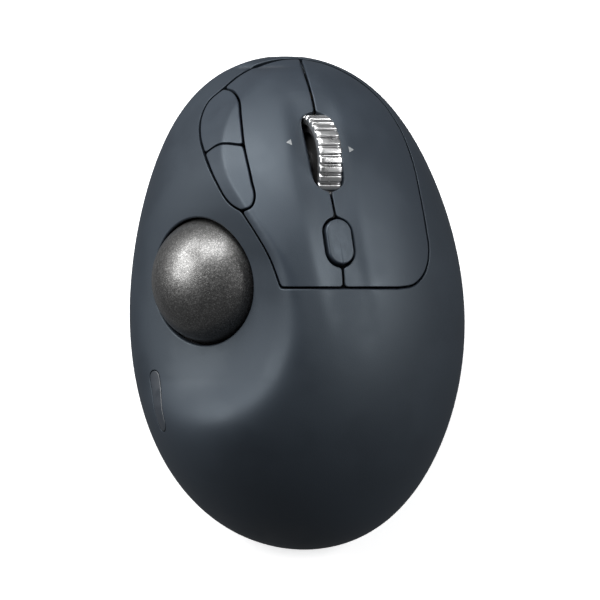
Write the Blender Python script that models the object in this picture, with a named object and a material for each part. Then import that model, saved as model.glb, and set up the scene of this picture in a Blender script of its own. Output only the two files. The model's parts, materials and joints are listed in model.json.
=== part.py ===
"""Right-handed trackball mouse for the thumb, as an assembly of separate parts.

The design is worked out in millimetres in the object's own frame: +X to the user's right, +Y
towards the front edge, +Z up, with the origin on the desk under the middle of the plan. Every
solid is scaled to metres as its mesh is made.
"""

import math

import bmesh
import bpy
import numpy as np
from mathutils import Matrix, Vector

MM = 0.001

# ---------------------------------------------------------------- driving dimensions (mm)
HALF_LENGTH = 65.75
RIM_Z = 7.0  # height of the widest line round the body
BASE_Z = 0.8  # underside of the case, held off the desk by the feet
PARTING_Z = 4.6  # where the bottom case meets the top shell
PARTING_GAP = 0.3
UNDERCUT = 0.055  # how far the wall draws in between the widest line and the underside
WALL = 2.2
KEY_THICKNESS = 2.0
SEAM = 0.6  # gap round every key
FRONT_SEAM = 1.0  # wider at the nose, where the keys travel most
FLOOR_TOP = 3.0
FIT = 0.3  # clearance between parts that lie against each other

BALL_RADIUS = 17.0
BALL_CENTRE = Vector((-21.4, 6.0, 27.1))
SOCKET_TILT = math.radians(37.0)  # the socket leans out towards the thumb
SOCKET_TURN = math.radians(187.0)  # and a little to the rear
SOCKET_OPENING = 16.9  # radius of the hole in the shell
CUP_INNER = 18.0
CUP_OUTER = 19.8
EJECT_RADIUS = 6.0

WHEEL_RADIUS = 13.0
WHEEL_WIDTH = 6.3
WHEEL_SUNK = 7.5  # from the key surface down to the axle
WHEEL_RIBS = 32
WHEEL_SLOT = (24.2, 8.2)
WHEEL_PLACE = (6.9, 40.2)
WHEEL_LEAN = math.radians(11.8)
AXLE_RADIUS = 1.5

DPI_PLACE = (11.05, 15.9)
DPI_SLOT = (13.6, 8.6)
DPI_KEY = (12.0, 7.2)
DPI_PROUD = 0.8
DPI_LEAN = math.radians(8.0)

SEAM_FOCUS = Vector((5.0, 15.0, -30.0))  # every key seam is drawn towards this point

# Seams, as points in plan that a smooth curve runs through.
REAR_SEAM = [(-4.2, 3.8), (4.0, 3.8), (12.3, 3.8), (20.0, 3.8), (27.0, 3.8)]
REAR_CORNER = [(27.0, 3.8), (30.8, 4.6), (33.5, 7.4), (34.7, 11.2), (34.9, 14.8)]
RIGHT_SEAM = [(34.9, 14.8), (32.8, 27.5), (30.3, 38.6), (27.6, 45.6), (23.0, 52.8),
              (14.4, 60.2), (7.8, 63.4), (0.85, 64.8)]
FRONT_SEAM_LEFT = [(0.85, 64.8), (-4.3, 64.6), (-10.4, 63.0), (-15.2, 60.4), (-19.4, 56.9)]
THUMB_KEYS_OUTER = [(-19.4, 56.9), (-23.8, 52.8), (-25.5, 48.4), (-25.6, 43.9), (-24.4, 39.2),
                    (-21.3, 31.8), (-17.2, 25.6), (-14.6, 24.0)]
THUMB_KEYS_INNER = [(-19.4, 56.9), (-17.0, 56.0), (-15.5, 53.8), (-14.9, 49.4), (-14.0, 41.4),
                    (-11.9, 31.8), (-11.1, 27.4), (-12.0, 25.0), (-14.6, 24.0)]
THUMB_KEYS_SPLIT = [(-24.4, 39.2), (-20.7, 41.6), (-14.0, 41.4)]
LOWER_LEFT_SEAM = [(-14.6, 24.0), (-10.6, 17.8), (-7.3, 12.0), (-4.2, 3.8)]
KEY_SPLIT = [(0.85, 64.8), (4.2, 53.2), (4.9, 49.6), (8.7, 29.7), (10.0, 23.0), (12.0, 9.0), (12.3, 3.8)]

# The crest between the palm and the thumb side: plan x at each plan y.
CREST = [(-65, -42), (-45, -26), (-31, -14.2), (-23, -8.4), (-18, -5.2), (-12, -2.9), (-2, -1.9),
         (4, -2.8), (11, -4.9), (16.4, -7.8), (25.8, -13.9), (33, -18.2), (40, -20.7), (46, -21.4),
         (52, -20.9), (58, -19.3), (66, -17.0)]
SCOOP_FADE = (-50.0, -20.0)  # the scoop dies away into the palm between these two plan ys
CREST_SOFTNESS = [(-40, 16.0), (-20, 9.0), (0, 6.0), (20, 3.5), (60, 1.5)]

# Pads under the case: x, y and the turn of the long side in degrees.
FEET = {"foot_front_left": (-19.0, 46.0, -35.0), "foot_front_right": (19.0, 44.0, 38.0),
        "foot_rear_left": (-25.0, -42.0, 35.0), "foot_rear_right": (27.0, -42.0, -35.0)}
FOOT_SIZE = (16.0, 7.0)
CASE_SCREWS = {"case_screw_front_left": (-27.5, 31.0), "case_screw_front_right": (29.0, 31.0),
               "case_screw_rear_left": (-31.5, -27.0), "case_screw_rear_right": (32.5, -24.0)}
BOARD_POSTS = [(-16.5, 48.0), (15.5, 52.0), (31.0, 18.0), (6.5, -3.5)]
BOARD_Z = (6.0, 7.6)
CLICK_SWITCHES = {"left": (-9.5, 45.0), "right": (19.0, 42.0)}
POWER_PLACE = (20.0, 12.0)
POWER_TRAVEL = 2.8
PAIRING_PLACE = (28.5, 2.0)
PORT_PLACE = (-3.0, 7.4)
WINDOW_ENDS = [(-38.8, -17.6), (-35.2, -34.2)]
WINDOW_SIZE = (17.0, 4.2)
KEY_HINGE = (7.0, 33.0)  # y and z of the rod that both main keys turn on
THUMB_SWITCH_Y = (7.5, -7.0)
SENSOR_TOWARDS = Vector((0.75, 0.2, -0.63)).normalized()


# ---------------------------------------------------------------- the body's outer surface
def body_outline(turn):
    """Plan outline of the widest line: an egg that leans a little to the left at the nose."""
    s = np.sin(turn)
    half_width = 44.5 - 3.0 * s + 0.5 * s**2 + 2.3 * s**3 + 3.9 * s**4
    middle = -0.03 - 1.27 * s - 2.37 * s**2 - 1.22 * s**3 + 1.8 * s**4
    return middle + half_width * np.cos(turn), HALF_LENGTH * s


_RIM_X, _RIM_Y = body_outline(np.linspace(0, 2 * np.pi, 721))
RIM_ANGLES = np.unwrap(np.arctan2(_RIM_Y, _RIM_X))
RIM_RADII = np.hypot(_RIM_X, _RIM_Y)


def rim_radius(bearing):
    start = RIM_ANGLES[0]
    return np.interp(np.mod(bearing - start, 2 * np.pi) + start, RIM_ANGLES, RIM_RADII)


def wall_share(z):
    """How much of the rim's radius is left at a height below it."""
    return 1 - UNDERCUT * ((RIM_Z - max(z, BASE_Z)) / (RIM_Z - BASE_Z)) ** 1.6


def rim_share(x, y):
    """0 at the middle of the plan, 1 on the widest line."""
    return np.clip(np.hypot(x, y) / rim_radius(np.arctan2(y, x)), 0, 1)


def through(points, at):
    """A smooth curve of second values through (first, second) points, read at the given firsts."""
    xs, ys = np.array(points, float).T
    slopes = np.gradient(ys, xs)
    i = np.clip(np.searchsorted(xs, at) - 1, 0, len(xs) - 2)
    h = xs[i + 1] - xs[i]
    t = np.clip((at - xs[i]) / h, 0, 1)
    return ((2 * t**3 - 3 * t**2 + 1) * ys[i] + (t**3 - 2 * t**2 + t) * h * slopes[i]
            + (3 * t**2 - 2 * t**3) * ys[i + 1] + (t**3 - t**2) * h * slopes[i + 1])


def step(value, low, high):
    t = np.clip((value - low) / (high - low), 0, 1)
    return t * t * (3 - 2 * t)


def domed(x, y, crown, fullness):
    """Brings a crown height down to the rim, with a fuller edge for a higher fullness."""
    return RIM_Z + (crown - RIM_Z) * np.sqrt(1 - rim_share(x, y) ** fullness)


def palm_height(x, y):
    """The dome under the palm and fingers, which falls away to the right."""
    crown = 51.5 - 0.16 * (x + 4) - 0.0035 * (x + 4) ** 2 - 0.0022 * y**2 - 0.04 * y
    return domed(x, y, crown, 2.4)


def finger_groove(x, y):
    """The shallow channel that the scroll wheel and the DPI key lie in."""
    middle = 9.5 - 0.205 * (y - 22.8)
    half_width = 6.2 + 0.05 * np.clip(45 - y, 0, 60)
    along = 1 / (1 + np.exp(-(y + 2) / 5)) / (1 + np.exp((y - 53) / 1.5))
    return 1.3 * np.exp(-(((x - middle) / half_width) ** 4)) * along


def thumb_height(x, y):
    """The scooped side that carries the ball, falling to the left from the crest."""
    crest = through(CREST, y)
    below = crest - x
    fall = 1.115 * below - 0.00865 * np.maximum(below, 0) ** 2
    side = domed(x, y, palm_height(crest, y) - fall, 10.0)
    reach = step(y, *SCOOP_FADE)
    return reach * side + (1 - reach) * (palm_height(x, y) + 14)


def height(x, y):
    """Height of the outer surface over a point in plan."""
    x, y = np.asarray(x, float), np.asarray(y, float)
    softness = np.interp(y, *np.array(CREST_SOFTNESS, float).T)
    palm = palm_height(x, y) - finger_groove(x, y)
    thumb = thumb_height(x, y)
    blend = np.clip(softness - np.abs(palm - thumb), 0, None) / softness
    return np.minimum(palm, thumb) - blend**3 * softness / 6


def surface_point(x, y):
    return Vector((x, y, float(height(x, y))))


def surface_reach(frame, x, y):
    """How far up a frame's Z the body's surface lies over a point of its XY plane."""
    z = 0.0
    for _ in range(40):
        place = frame @ Vector((x, y, z))
        z += 0.6 * (float(height(place.x, place.y)) - place.z)
    return z


def surface_normal(x, y, reach=0.4):
    rise_x = float(height(x + reach, y) - height(x - reach, y)) / (2 * reach)
    rise_y = float(height(x, y + reach) - height(x, y - reach)) / (2 * reach)
    return Vector((-rise_x, -rise_y, 1)).normalized()


# ---------------------------------------------------------------- frames
def frame_of(origin, up, forward):
    """A matrix in millimetres whose Z is up and whose Y is the given direction made square to it."""
    z = Vector(up).normalized()
    x = Vector(forward).cross(z).normalized()
    y = z.cross(x)
    frame = Matrix((x, y, z)).transposed().to_4x4()
    frame.translation = origin
    return frame


def forward_over(up, lean):
    """The direction in the surface that points forward and leans left by an angle seen from above."""
    x, y = -math.sin(lean), math.cos(lean)
    return Vector((x, y, -(x * up.x + y * up.y) / up.z))


def wheel_frame():
    """Z square to the key surface at the wheel, Y forward along the slot, origin on the axle."""
    up = surface_normal(*WHEEL_PLACE, reach=9.0)
    return frame_of(surface_point(*WHEEL_PLACE) - WHEEL_SUNK * up, up, forward_over(up, WHEEL_LEAN))


def dpi_frame():
    up = surface_normal(*DPI_PLACE, reach=3.0)
    return frame_of(surface_point(*DPI_PLACE), up, forward_over(up, DPI_LEAN))


def socket_axis():
    return Vector((math.sin(SOCKET_TILT) * math.cos(SOCKET_TURN),
                   math.sin(SOCKET_TILT) * math.sin(SOCKET_TURN), math.cos(SOCKET_TILT)))


# ---------------------------------------------------------------- making and combining solids
def clear_scene():
    for old in list(bpy.data.objects):
        bpy.data.objects.remove(old)


def add_object(name, mesh, material=None):
    obj = bpy.data.objects.new(name, mesh)
    bpy.context.scene.collection.objects.link(obj)
    if material:
        mesh.materials.clear()
        mesh.materials.append(material)
    return obj


def from_bmesh(name, bm, frame=None, smooth=True):
    """Closes off a bmesh held in millimetres as an object in metres."""
    bmesh.ops.recalc_face_normals(bm, faces=bm.faces)
    if bm.calc_volume(signed=True) < 0:
        bmesh.ops.reverse_faces(bm, faces=bm.faces)
    bm.transform(Matrix.Scale(MM, 4) @ (frame or Matrix()))
    mesh = bpy.data.meshes.new(name)
    bm.to_mesh(mesh)
    bm.free()
    if smooth:
        mesh.shade_smooth()
        mesh.set_sharp_from_angle(angle=math.radians(35))
    return add_object(name, mesh)


def block(name, size, frame=None, at=(0, 0, 0), bevel=0.0):
    bm = bmesh.new()
    bmesh.ops.create_cube(bm, size=1.0, matrix=Matrix.Translation(at) @ Matrix.Diagonal((*size, 1)))
    if bevel:
        upright = [e for e in bm.edges if abs((e.verts[0].co - e.verts[1].co).normalized().z) > 0.9]
        bmesh.ops.bevel(bm, geom=upright, offset=bevel, segments=3, affect="EDGES", profile=0.5)
    return from_bmesh(name, bm, frame)


def rod(name, radius, length, frame=None, at=(0, 0, 0), along="Z", sides=24):
    turn = {"X": Matrix.Rotation(math.pi / 2, 4, "Y"), "Y": Matrix.Rotation(-math.pi / 2, 4, "X"),
            "Z": Matrix()}[along]
    bm = bmesh.new()
    bmesh.ops.create_cone(bm, cap_ends=True, segments=sides, radius1=radius,
                          radius2=radius, depth=length,
                          matrix=Matrix.Translation(at) @ turn)
    return from_bmesh(name, bm, frame)


def ball(name, radius, centre, segments=24, rings=14):
    bm = bmesh.new()
    bmesh.ops.create_uvsphere(bm, u_segments=segments, v_segments=rings, radius=radius,
                              matrix=Matrix.Translation(centre))
    return from_bmesh(name, bm)


def capsule_outline(length, width, steps=8):
    """A straight-sided slot with round ends, long in Y."""
    radius, reach = width / 2, (length - width) / 2
    turns = [math.pi * i / steps for i in range(steps + 1)]
    front = [(radius * math.cos(a), reach + radius * math.sin(a)) for a in turns]
    rear = [(-x, -y) for x, y in front]
    return front + rear


def prism(name, outline, low, high, frame=None):
    """An outline in XY drawn out along Z."""
    bm = bmesh.new()
    bottom = [bm.verts.new((x, y, low)) for x, y in outline]
    top = [bm.verts.new((x, y, high)) for x, y in outline]
    loft(bm, [bottom, top])
    return from_bmesh(name, bm, frame)


def loft(bm, loops):
    """Skins closed loops of equal count one to the next, and caps the first and the last."""
    for low, high in zip(loops, loops[1:]):
        for i in range(len(low)):
            j = (i + 1) % len(low)
            bm.faces.new((low[i], low[j], high[j], high[i]))
    bm.faces.new(loops[0][::-1])
    bm.faces.new(loops[-1])


def combine(obj, other, operation):
    """Applies an exact Boolean and takes the other solid away."""
    modifier = obj.modifiers.new(operation.lower(), "BOOLEAN")
    modifier.object = other
    modifier.operation = operation
    modifier.solver = "EXACT"
    bpy.context.view_layer.update()
    evaluated = obj.evaluated_get(bpy.context.evaluated_depsgraph_get())
    mesh = bpy.data.meshes.new_from_object(evaluated)
    obj.modifiers.clear()
    obj.data = mesh
    mesh.name = obj.name
    bpy.data.objects.remove(other)
    return obj


def cut(obj, *others):
    for other in others:
        combine(obj, other, "DIFFERENCE")
    return obj


def join(obj, *others):
    for other in others:
        combine(obj, other, "UNION")
    return obj


def keep_common(obj, other):
    return combine(obj, other, "INTERSECT")


def copy_of(obj, name):
    return add_object(name, obj.data.copy())


def paint(obj, material):
    obj.data.materials.clear()
    obj.data.materials.append(material)
    obj.data.shade_smooth()
    obj.data.set_sharp_from_angle(angle=math.radians(35))
    return obj


def plastic(name, colour, roughness=0.5, metallic=0.0, alpha=1.0):
    material = bpy.data.materials.new(name)
    material.use_nodes = True
    shader = material.node_tree.nodes["Principled BSDF"]
    shader.inputs["Base Color"].default_value = (*colour, 1)
    shader.inputs["Roughness"].default_value = roughness
    shader.inputs["Metallic"].default_value = metallic
    shader.inputs["Alpha"].default_value = alpha
    return material


# ---------------------------------------------------------------- body blanks
def hull(name, inset, sectors=64, rings=18, floor_z=BASE_Z):
    """The body's outer form as one solid, or the same form drawn in by an inset and run down to floor_z."""
    bearings = np.linspace(0, 2 * np.pi, sectors, endpoint=False)
    shares = np.sin(np.linspace(0, np.pi / 2, rings + 1)[1:]) ** 0.9
    radius = rim_radius(bearings)
    loops = []
    for share in shares:
        x, y = share * radius * np.cos(bearings), share * radius * np.sin(bearings)
        loops.append(np.stack([x, y, height(x, y)], axis=1))
    for z in np.linspace(RIM_Z, floor_z, 4)[1:]:
        drawn = wall_share(z) * radius
        loops.append(np.stack([drawn * np.cos(bearings), drawn * np.sin(bearings), np.full(sectors, z)],
                              axis=1))
    grid = np.array(loops)
    crown = np.array([0, 0, float(height(1e-6, 0))])
    if inset:
        around = np.roll(grid, -1, axis=1) - np.roll(grid, 1, axis=1)
        outward = np.cross(around, np.gradient(grid, axis=0))
        outward *= -1 / np.linalg.norm(outward, axis=2, keepdims=True)
        outward[-1, :, 2] = 0
        grid = grid - inset * outward
        crown[2] -= inset
        grid[-1, :, 2] = floor_z
    bm = bmesh.new()
    verts = [[bm.verts.new(p) for p in loop] for loop in grid]
    for inner, outer in zip(verts, verts[1:]):
        for i in range(sectors):
            j = (i + 1) % sectors
            bm.faces.new((inner[i], outer[i], outer[j], inner[j]))
    top = bm.verts.new(crown)
    for i in range(sectors):
        bm.faces.new((top, verts[0][i], verts[0][(i + 1) % sectors]))
    bm.faces.new(verts[-1])
    return from_bmesh(name, bm)


def smooth_run(points, spacing):
    """Evenly spaced points along a smooth curve through the given ones, both ends included."""
    p = np.array(points, float)
    if len(p) < 3:
        p = np.linspace(p[0], p[-1], 3)
    way = np.concatenate([[0], np.cumsum(np.linalg.norm(np.diff(p, axis=0), axis=1))])
    count = max(2, round(way[-1] / spacing) + 1)
    at = np.linspace(0, way[-1], count)
    return [(float(x), float(y)) for x, y in
            zip(through(list(zip(way, p[:, 0])), at), through(list(zip(way, p[:, 1])), at))]


def closed_outline(*runs, spacing=2.6):
    """Joins runs end to end into one closed outline, turned counter-clockwise."""
    outline = []
    for run in runs:
        outline += smooth_run(run, spacing)[:-1]
    area = sum(a[0] * b[1] - b[0] * a[1] for a, b in zip(outline, outline[1:] + outline[:1]))
    return outline if area > 0 else outline[::-1]


def offset_on_surface(outline, distance, nose_extra=0.0):
    """Moves an outline outwards by a distance measured over the body's surface."""
    moved = []
    n = len(outline)
    for i, (x, y) in enumerate(outline):
        before, after = Vector(outline[i - 1]), Vector(outline[(i + 1) % n])
        here = Vector((x, y))
        edges = [(here - before).normalized(), (after - here).normalized()]
        along = (edges[0] + edges[1]).normalized()
        mitre = 1 / max(0.55, along.dot(edges[0]))
        normal = surface_normal(x, y)
        slope = -(normal.x * along.x + normal.y * along.y) / normal.z
        tangent = Vector((along.x, along.y, slope)).normalized()
        sideways = tangent.cross(normal)
        reach = distance * mitre + nose_extra * float(step(y, 50.0, 60.0))
        moved.append((x + reach * sideways.x, y + reach * sideways.y))
    return moved


def seam_cutter(name, outline, low=5.0, high=85.0):
    """A solid whose sides pass through an outline on the surface, all drawn towards the seam focus."""
    bm = bmesh.new()
    loops = []
    for z in (low, high):
        loop = []
        for x, y in outline:
            ray = surface_point(x, y) - SEAM_FOCUS
            loop.append(bm.verts.new(SEAM_FOCUS + ray * (z - SEAM_FOCUS.z) / ray.z))
        loops.append(loop)
    loft(bm, loops)
    return from_bmesh(name, bm)


# ---------------------------------------------------------------- case and keys
def slab(name, low, high):
    return block(name, (200, 200, high - low), at=(0, 0, (low + high) / 2))


def pill_cutter(name, frame, length, width, low, high):
    return prism(name, capsule_outline(length, width), low, high, frame)


def turned(x, y, degrees=0.0):
    return Matrix.Translation((x, y, 0)) @ Matrix.Rotation(math.radians(degrees), 4, "Z")


def window_frame():
    """Z square to the thumb side at the indicator window, Y along the window towards the front."""
    (x0, y0), (x1, y1) = WINDOW_ENDS
    middle = ((x0 + x1) / 2, (y0 + y1) / 2)
    along = surface_point(x0, y0) - surface_point(x1, y1)
    return frame_of(surface_point(*middle), surface_normal(*middle, reach=1.5), along)


def keys_outline():
    return closed_outline(REAR_SEAM, REAR_CORNER, RIGHT_SEAM, FRONT_SEAM_LEFT, THUMB_KEYS_OUTER,
                          LOWER_LEFT_SEAM)


def key_outlines():
    return {
        "left_button": closed_outline(REAR_SEAM[:3], KEY_SPLIT[::-1], FRONT_SEAM_LEFT,
                                      THUMB_KEYS_INNER, LOWER_LEFT_SEAM),
        "right_button": closed_outline(REAR_SEAM[2:], REAR_CORNER, RIGHT_SEAM, KEY_SPLIT),
        "forward_button": closed_outline(THUMB_KEYS_OUTER[:5], THUMB_KEYS_SPLIT,
                                         THUMB_KEYS_INNER[:5][::-1]),
        "back_button": closed_outline(THUMB_KEYS_OUTER[4:], THUMB_KEYS_INNER[4:][::-1],
                                      THUMB_KEYS_SPLIT[::-1]),
    }


def make_top_shell():
    shell = hull("top_shell", 0)
    cut(shell, slab("below", -10, PARTING_Z + PARTING_GAP / 2), hull("hollow", WALL, floor_z=-4))
    inside = hull("inside", WALL / 2, floor_z=-4)
    for x, y in CASE_SCREWS.values():
        boss = rod("boss", 3.2, 50, at=(x, y, FLOOR_TOP + FIT + 25), sides=16)
        join(shell, keep_common(boss, copy_of(inside, "limit")))
        cut(shell, rod("pilot", 1.3, 13, at=(x, y, FLOOR_TOP + 6), sides=12))
    bpy.data.objects.remove(inside)
    outline = offset_on_surface(keys_outline(), SEAM / 2, FRONT_SEAM - SEAM)
    cut(shell, seam_cutter("key_opening", outline), ball("ball_room", BALL_RADIUS + 0.6, BALL_CENTRE, 40, 24))
    socket = frame_of(BALL_CENTRE, socket_axis(), (0, 1, 0))
    cut(shell, rod("socket_opening", SOCKET_OPENING, 30, socket, at=(0, 0, 15 + 4.6), sides=48))
    cut(shell, pill_cutter("window_room", window_frame(), *WINDOW_SIZE, -8, 6))
    port = frame_of(Vector((PORT_PLACE[0], HALF_LENGTH, PORT_PLACE[1])), (0, 1, 0), (1, 0, 0))
    return cut(shell, pill_cutter("port_room", port, 9.8, 3.7, -8, 6))


def wall_outline(z, inset=0.0, count=64):
    """The wall's outline in plan at a height below the widest line, drawn in by an inset."""
    bearings = np.linspace(0, 2 * np.pi, count, endpoint=False)
    radius = rim_radius(bearings) * wall_share(z) - inset
    return list(zip(radius * np.cos(bearings), radius * np.sin(bearings)))


def make_bottom_case():
    bm = bmesh.new()
    loops = []
    for z in (BASE_Z, 1.9, 3.1, PARTING_Z - PARTING_GAP / 2):
        loops.append([bm.verts.new((x, y, z)) for x, y in wall_outline(z)])
    loft(bm, loops)
    case = from_bmesh("bottom_case", bm)
    cut(case, prism("hollow", wall_outline(BASE_Z, WALL - 1.2), FLOOR_TOP, 20))
    x, y = BALL_CENTRE.xy
    join(case, rod("collar", EJECT_RADIUS + 1.4, 6.0, at=(x, y, 4.8), sides=32))
    cut(case, rod("eject_hole", EJECT_RADIUS, 20, at=(x, y, 4), sides=32))
    for post in BOARD_POSTS:
        join(case, rod("post", 2.2, BOARD_Z[0] - FIT - 2, at=(*post, (BOARD_Z[0] - FIT + 2) / 2), sides=12))
        join(case, rod("pin", 1.0, 5.8, at=(*post, 5.3), sides=10))
    for x, y in CASE_SCREWS.values():
        cut(case, rod("screw_hole", 1.5, 12, at=(x, y, 2), sides=12))
        cut(case, rod("screw_recess", 2.8, 4, at=(x, y, 0), sides=16))
    for x, y, degrees in FEET.values():
        size = [side + 2 * FIT for side in FOOT_SIZE]
        cut(case, pill_cutter("foot_recess", turned(x, y, degrees), *size, -2, 1.4))
    x, y = POWER_PLACE
    cut(case, pill_cutter("finger_dish", turned(x, y, 90), 13, 6.5, -2, 1.6))
    cut(case, block("knob_slot", (6.4, 3.4, 9), at=(x, y, 2)))
    cut(case, rod("pairing_dish", 4.0, 4, at=(*PAIRING_PLACE, -0.5), sides=20))
    return cut(case, rod("pairing_hole", 1.9, 12, at=(*PAIRING_PLACE, 2), sides=16))


def make_keys():
    outer = hull("outer", 0)
    hollow = hull("key_hollow", KEY_THICKNESS, floor_z=-6)
    keys = {}
    for name, outline in key_outlines().items():
        key = seam_cutter(name, offset_on_surface(outline, -SEAM / 2))
        keep_common(key, copy_of(outer, "limit"))
        cut(key, copy_of(hollow, "room"))
        keys[name] = key
    bpy.data.objects.remove(outer)
    bpy.data.objects.remove(hollow)
    for name in ("left_button", "right_button"):
        cut(keys[name], pill_cutter("wheel_slot", wheel_frame(), *WHEEL_SLOT, -8, 14))
        cut(keys[name], rod("wheel_room", WHEEL_RADIUS + 0.75, WHEEL_SLOT[1], wheel_turn_frame(), sides=48))
        cut(keys[name], pill_cutter("dpi_slot", dpi_frame(), *DPI_SLOT, -8, 10))
    for side, (x, y) in CLICK_SWITCHES.items():
        top = float(height(x, y)) - 1.0
        low = BOARD_Z[1] + FIT + 6.5 + 1.0 + FIT
        join(keys[side + "_button"], block("presser", (2.6, 3.0, top - low), at=(x, y, (top + low) / 2)))
    add_knuckle(keys["left_button"], -1.0, 3.0)
    add_knuckle(keys["right_button"], 14.6, 17.6)
    add_knuckle(keys["right_button"], 21.0, 24.0)
    return keys


def add_knuckle(key, left, right):
    """An arm down from the underside of a key, with an eye that turns on the hinge rod."""
    y, z = KEY_HINGE
    middle, width = (left + right) / 2, right - left
    top = float(height(right, y + 2.0)) - 1.2
    arm = block("arm", (width, 4.0, top - z), at=(middle, y, (top + z) / 2))
    join(arm, rod("eye", 3.0, width, at=(middle, y, z), along="X", sides=20))
    join(key, arm)
    cut(key, rod("bore", 1.5 + FIT, width + 4, at=(middle, y, z), along="X", sides=20))


def make_dpi_button():
    frame = dpi_frame()
    key = prism("dpi_button", capsule_outline(*DPI_KEY), -2.4, DPI_PROUD, frame)
    join(key, rod("stem", 1.4, 2.6, frame, at=(0, 0, -3.0), sides=12))
    return key


# ---------------------------------------------------------------- ball and its socket
def make_trackball():
    return ball("trackball", BALL_RADIUS, BALL_CENTRE, 36, 20)


def bearing_directions():
    """Three ways out from the ball's centre, round the socket's axis and below its middle."""
    socket = frame_of((0, 0, 0), socket_axis(), (0, 1, 0)).to_3x3()
    spread = math.radians(58)
    for degrees in (90, 210, 330):
        turn = math.radians(degrees)
        yield socket @ Vector((math.sin(spread) * math.cos(turn), math.sin(spread) * math.sin(turn),
                               -math.cos(spread)))


def make_ball_cup():
    cup = ball("ball_cup", CUP_OUTER, BALL_CENTRE, 32, 18)
    places = [BALL_CENTRE + way * (BALL_RADIUS + 1.35) for way in bearing_directions()]
    for place in places:
        join(cup, ball("bearing_boss", 2.7, place, 12, 8))
    cut(cup, ball("cup_hollow", CUP_INNER, BALL_CENTRE, 32, 18))
    socket = frame_of(BALL_CENTRE, socket_axis(), (0, 1, 0))
    cut(cup, block("cup_top", (60, 60, 30), socket, at=(0, 0, 15 + 1.2)))
    for place in places:
        cut(cup, ball("bearing_room", 1.25 + FIT, place, 12, 8))
    cut(cup, rod("eject_way", EJECT_RADIUS, 20, at=(*BALL_CENTRE.xy, 5), sides=32))
    cut(cup, rod("sensor_way", 2.4, 12, sensor_frame(), at=(0, 0, 7), sides=16))
    return keep_common(cup, hull("limit", WALL + FIT, floor_z=-4))


def make_bearings():
    return [ball(f"support_bearing_{i}", 1.25, BALL_CENTRE + way * (BALL_RADIUS + 1.35), 14, 10)
            for i, way in enumerate(bearing_directions(), 1)]


def sensor_frame():
    """Z towards the ball's centre, origin 27 mm from it."""
    return frame_of(BALL_CENTRE + 27.0 * SENSOR_TOWARDS, -SENSOR_TOWARDS, (0, 1, 0))


def make_sensor():
    frame = sensor_frame()
    board = block("sensor_board", (12, 13, 1.2), frame, at=(0, 0, 0.6), bevel=1.0)
    chip = block("optical_sensor", (8.6, 8.6, 2.2), frame, at=(0, 0, 2.6))
    lens = block("sensor_lens", (9.4, 9.4, 1.2), frame, at=(0, 0, 4.6), bevel=0.8)
    join(lens, rod("lens_barrel", 2.0, 3.0, frame, at=(0, 0, 6.0), sides=20))
    return board, chip, lens


# ---------------------------------------------------------------- scroll wheel
def ribbed_outline(radius, ribs, depth):
    """A toothed ring outline: flat-topped ribs with narrower grooves between them."""
    outline = []
    for rib in range(ribs):
        for share, r in ((0.0, radius), (0.55, radius), (0.68, radius - depth), (0.87, radius - depth)):
            turn = 2 * math.pi * (rib + share) / ribs
            outline.append((r * math.cos(turn), r * math.sin(turn)))
    return outline


def wheel_turn_frame():
    """The wheel's frame turned so that Z runs along the axle."""
    return wheel_frame() @ Matrix.Rotation(math.pi / 2, 4, "Y")


def make_wheel():
    frame = wheel_turn_frame()
    half = WHEEL_WIDTH / 2
    ring = prism("scroll_wheel_ring", ribbed_outline(WHEEL_RADIUS, WHEEL_RIBS, 0.7), -half, half, frame)
    cut(ring, rod("ring_bore", 10.4, 20, frame, sides=40))
    core = rod("scroll_wheel_core", 10.1, 4.6, frame, sides=40)
    for side in (-1, 1):
        cut(core, rod("dish", 8.2, 2.0, frame, at=(0, 0, side * 2.6), sides=32))
        join(core, rod("hub", 3.4, 1.2, frame, at=(0, 0, side * 1.7), sides=20))
    cut(core, rod("axle_bore", AXLE_RADIUS + 0.1, 20, frame, sides=20))
    axle = rod("wheel_axle", AXLE_RADIUS, 12.6, frame, sides=20)
    return ring, core, axle


def make_wheel_yoke():
    frame = wheel_frame()
    yoke = block("wheel_yoke", (12.8, 10, 1.6), frame, at=(0, 0, -WHEEL_RADIUS - 1.4))
    for side in (-1, 1):
        join(yoke, block("plate", (1.7, 10, 18.2), frame, at=(side * 5.55, 0, -WHEEL_RADIUS + 6.9)))
        cut(yoke, rod("axle_room", AXLE_RADIUS + FIT, 4, frame, at=(side * 5.55, 0, 0), along="X", sides=16))
    return yoke


def make_wheel_cradle():
    """A frame round the yoke that rocks on two pins, with a tongue between the tilt switches."""
    frame = wheel_frame()
    cradle = block("wheel_cradle", (19.6, 30.4, 5.0), frame, at=(1.5, 0, -0.8))
    cut(cradle, block("cradle_hollow", (16.6, 27.4, 20), frame, at=(1.5, 0, 0)))
    for side in (-1, 1):
        join(cradle, rod("pin", 1.3, 3.4, frame, at=(0, side * 16.5, 0), along="Y", sides=14))
    return join(cradle, block("tongue", (2.6, 1.5, 7.4), frame, at=(0, 14.45, -5.6)))


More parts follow.
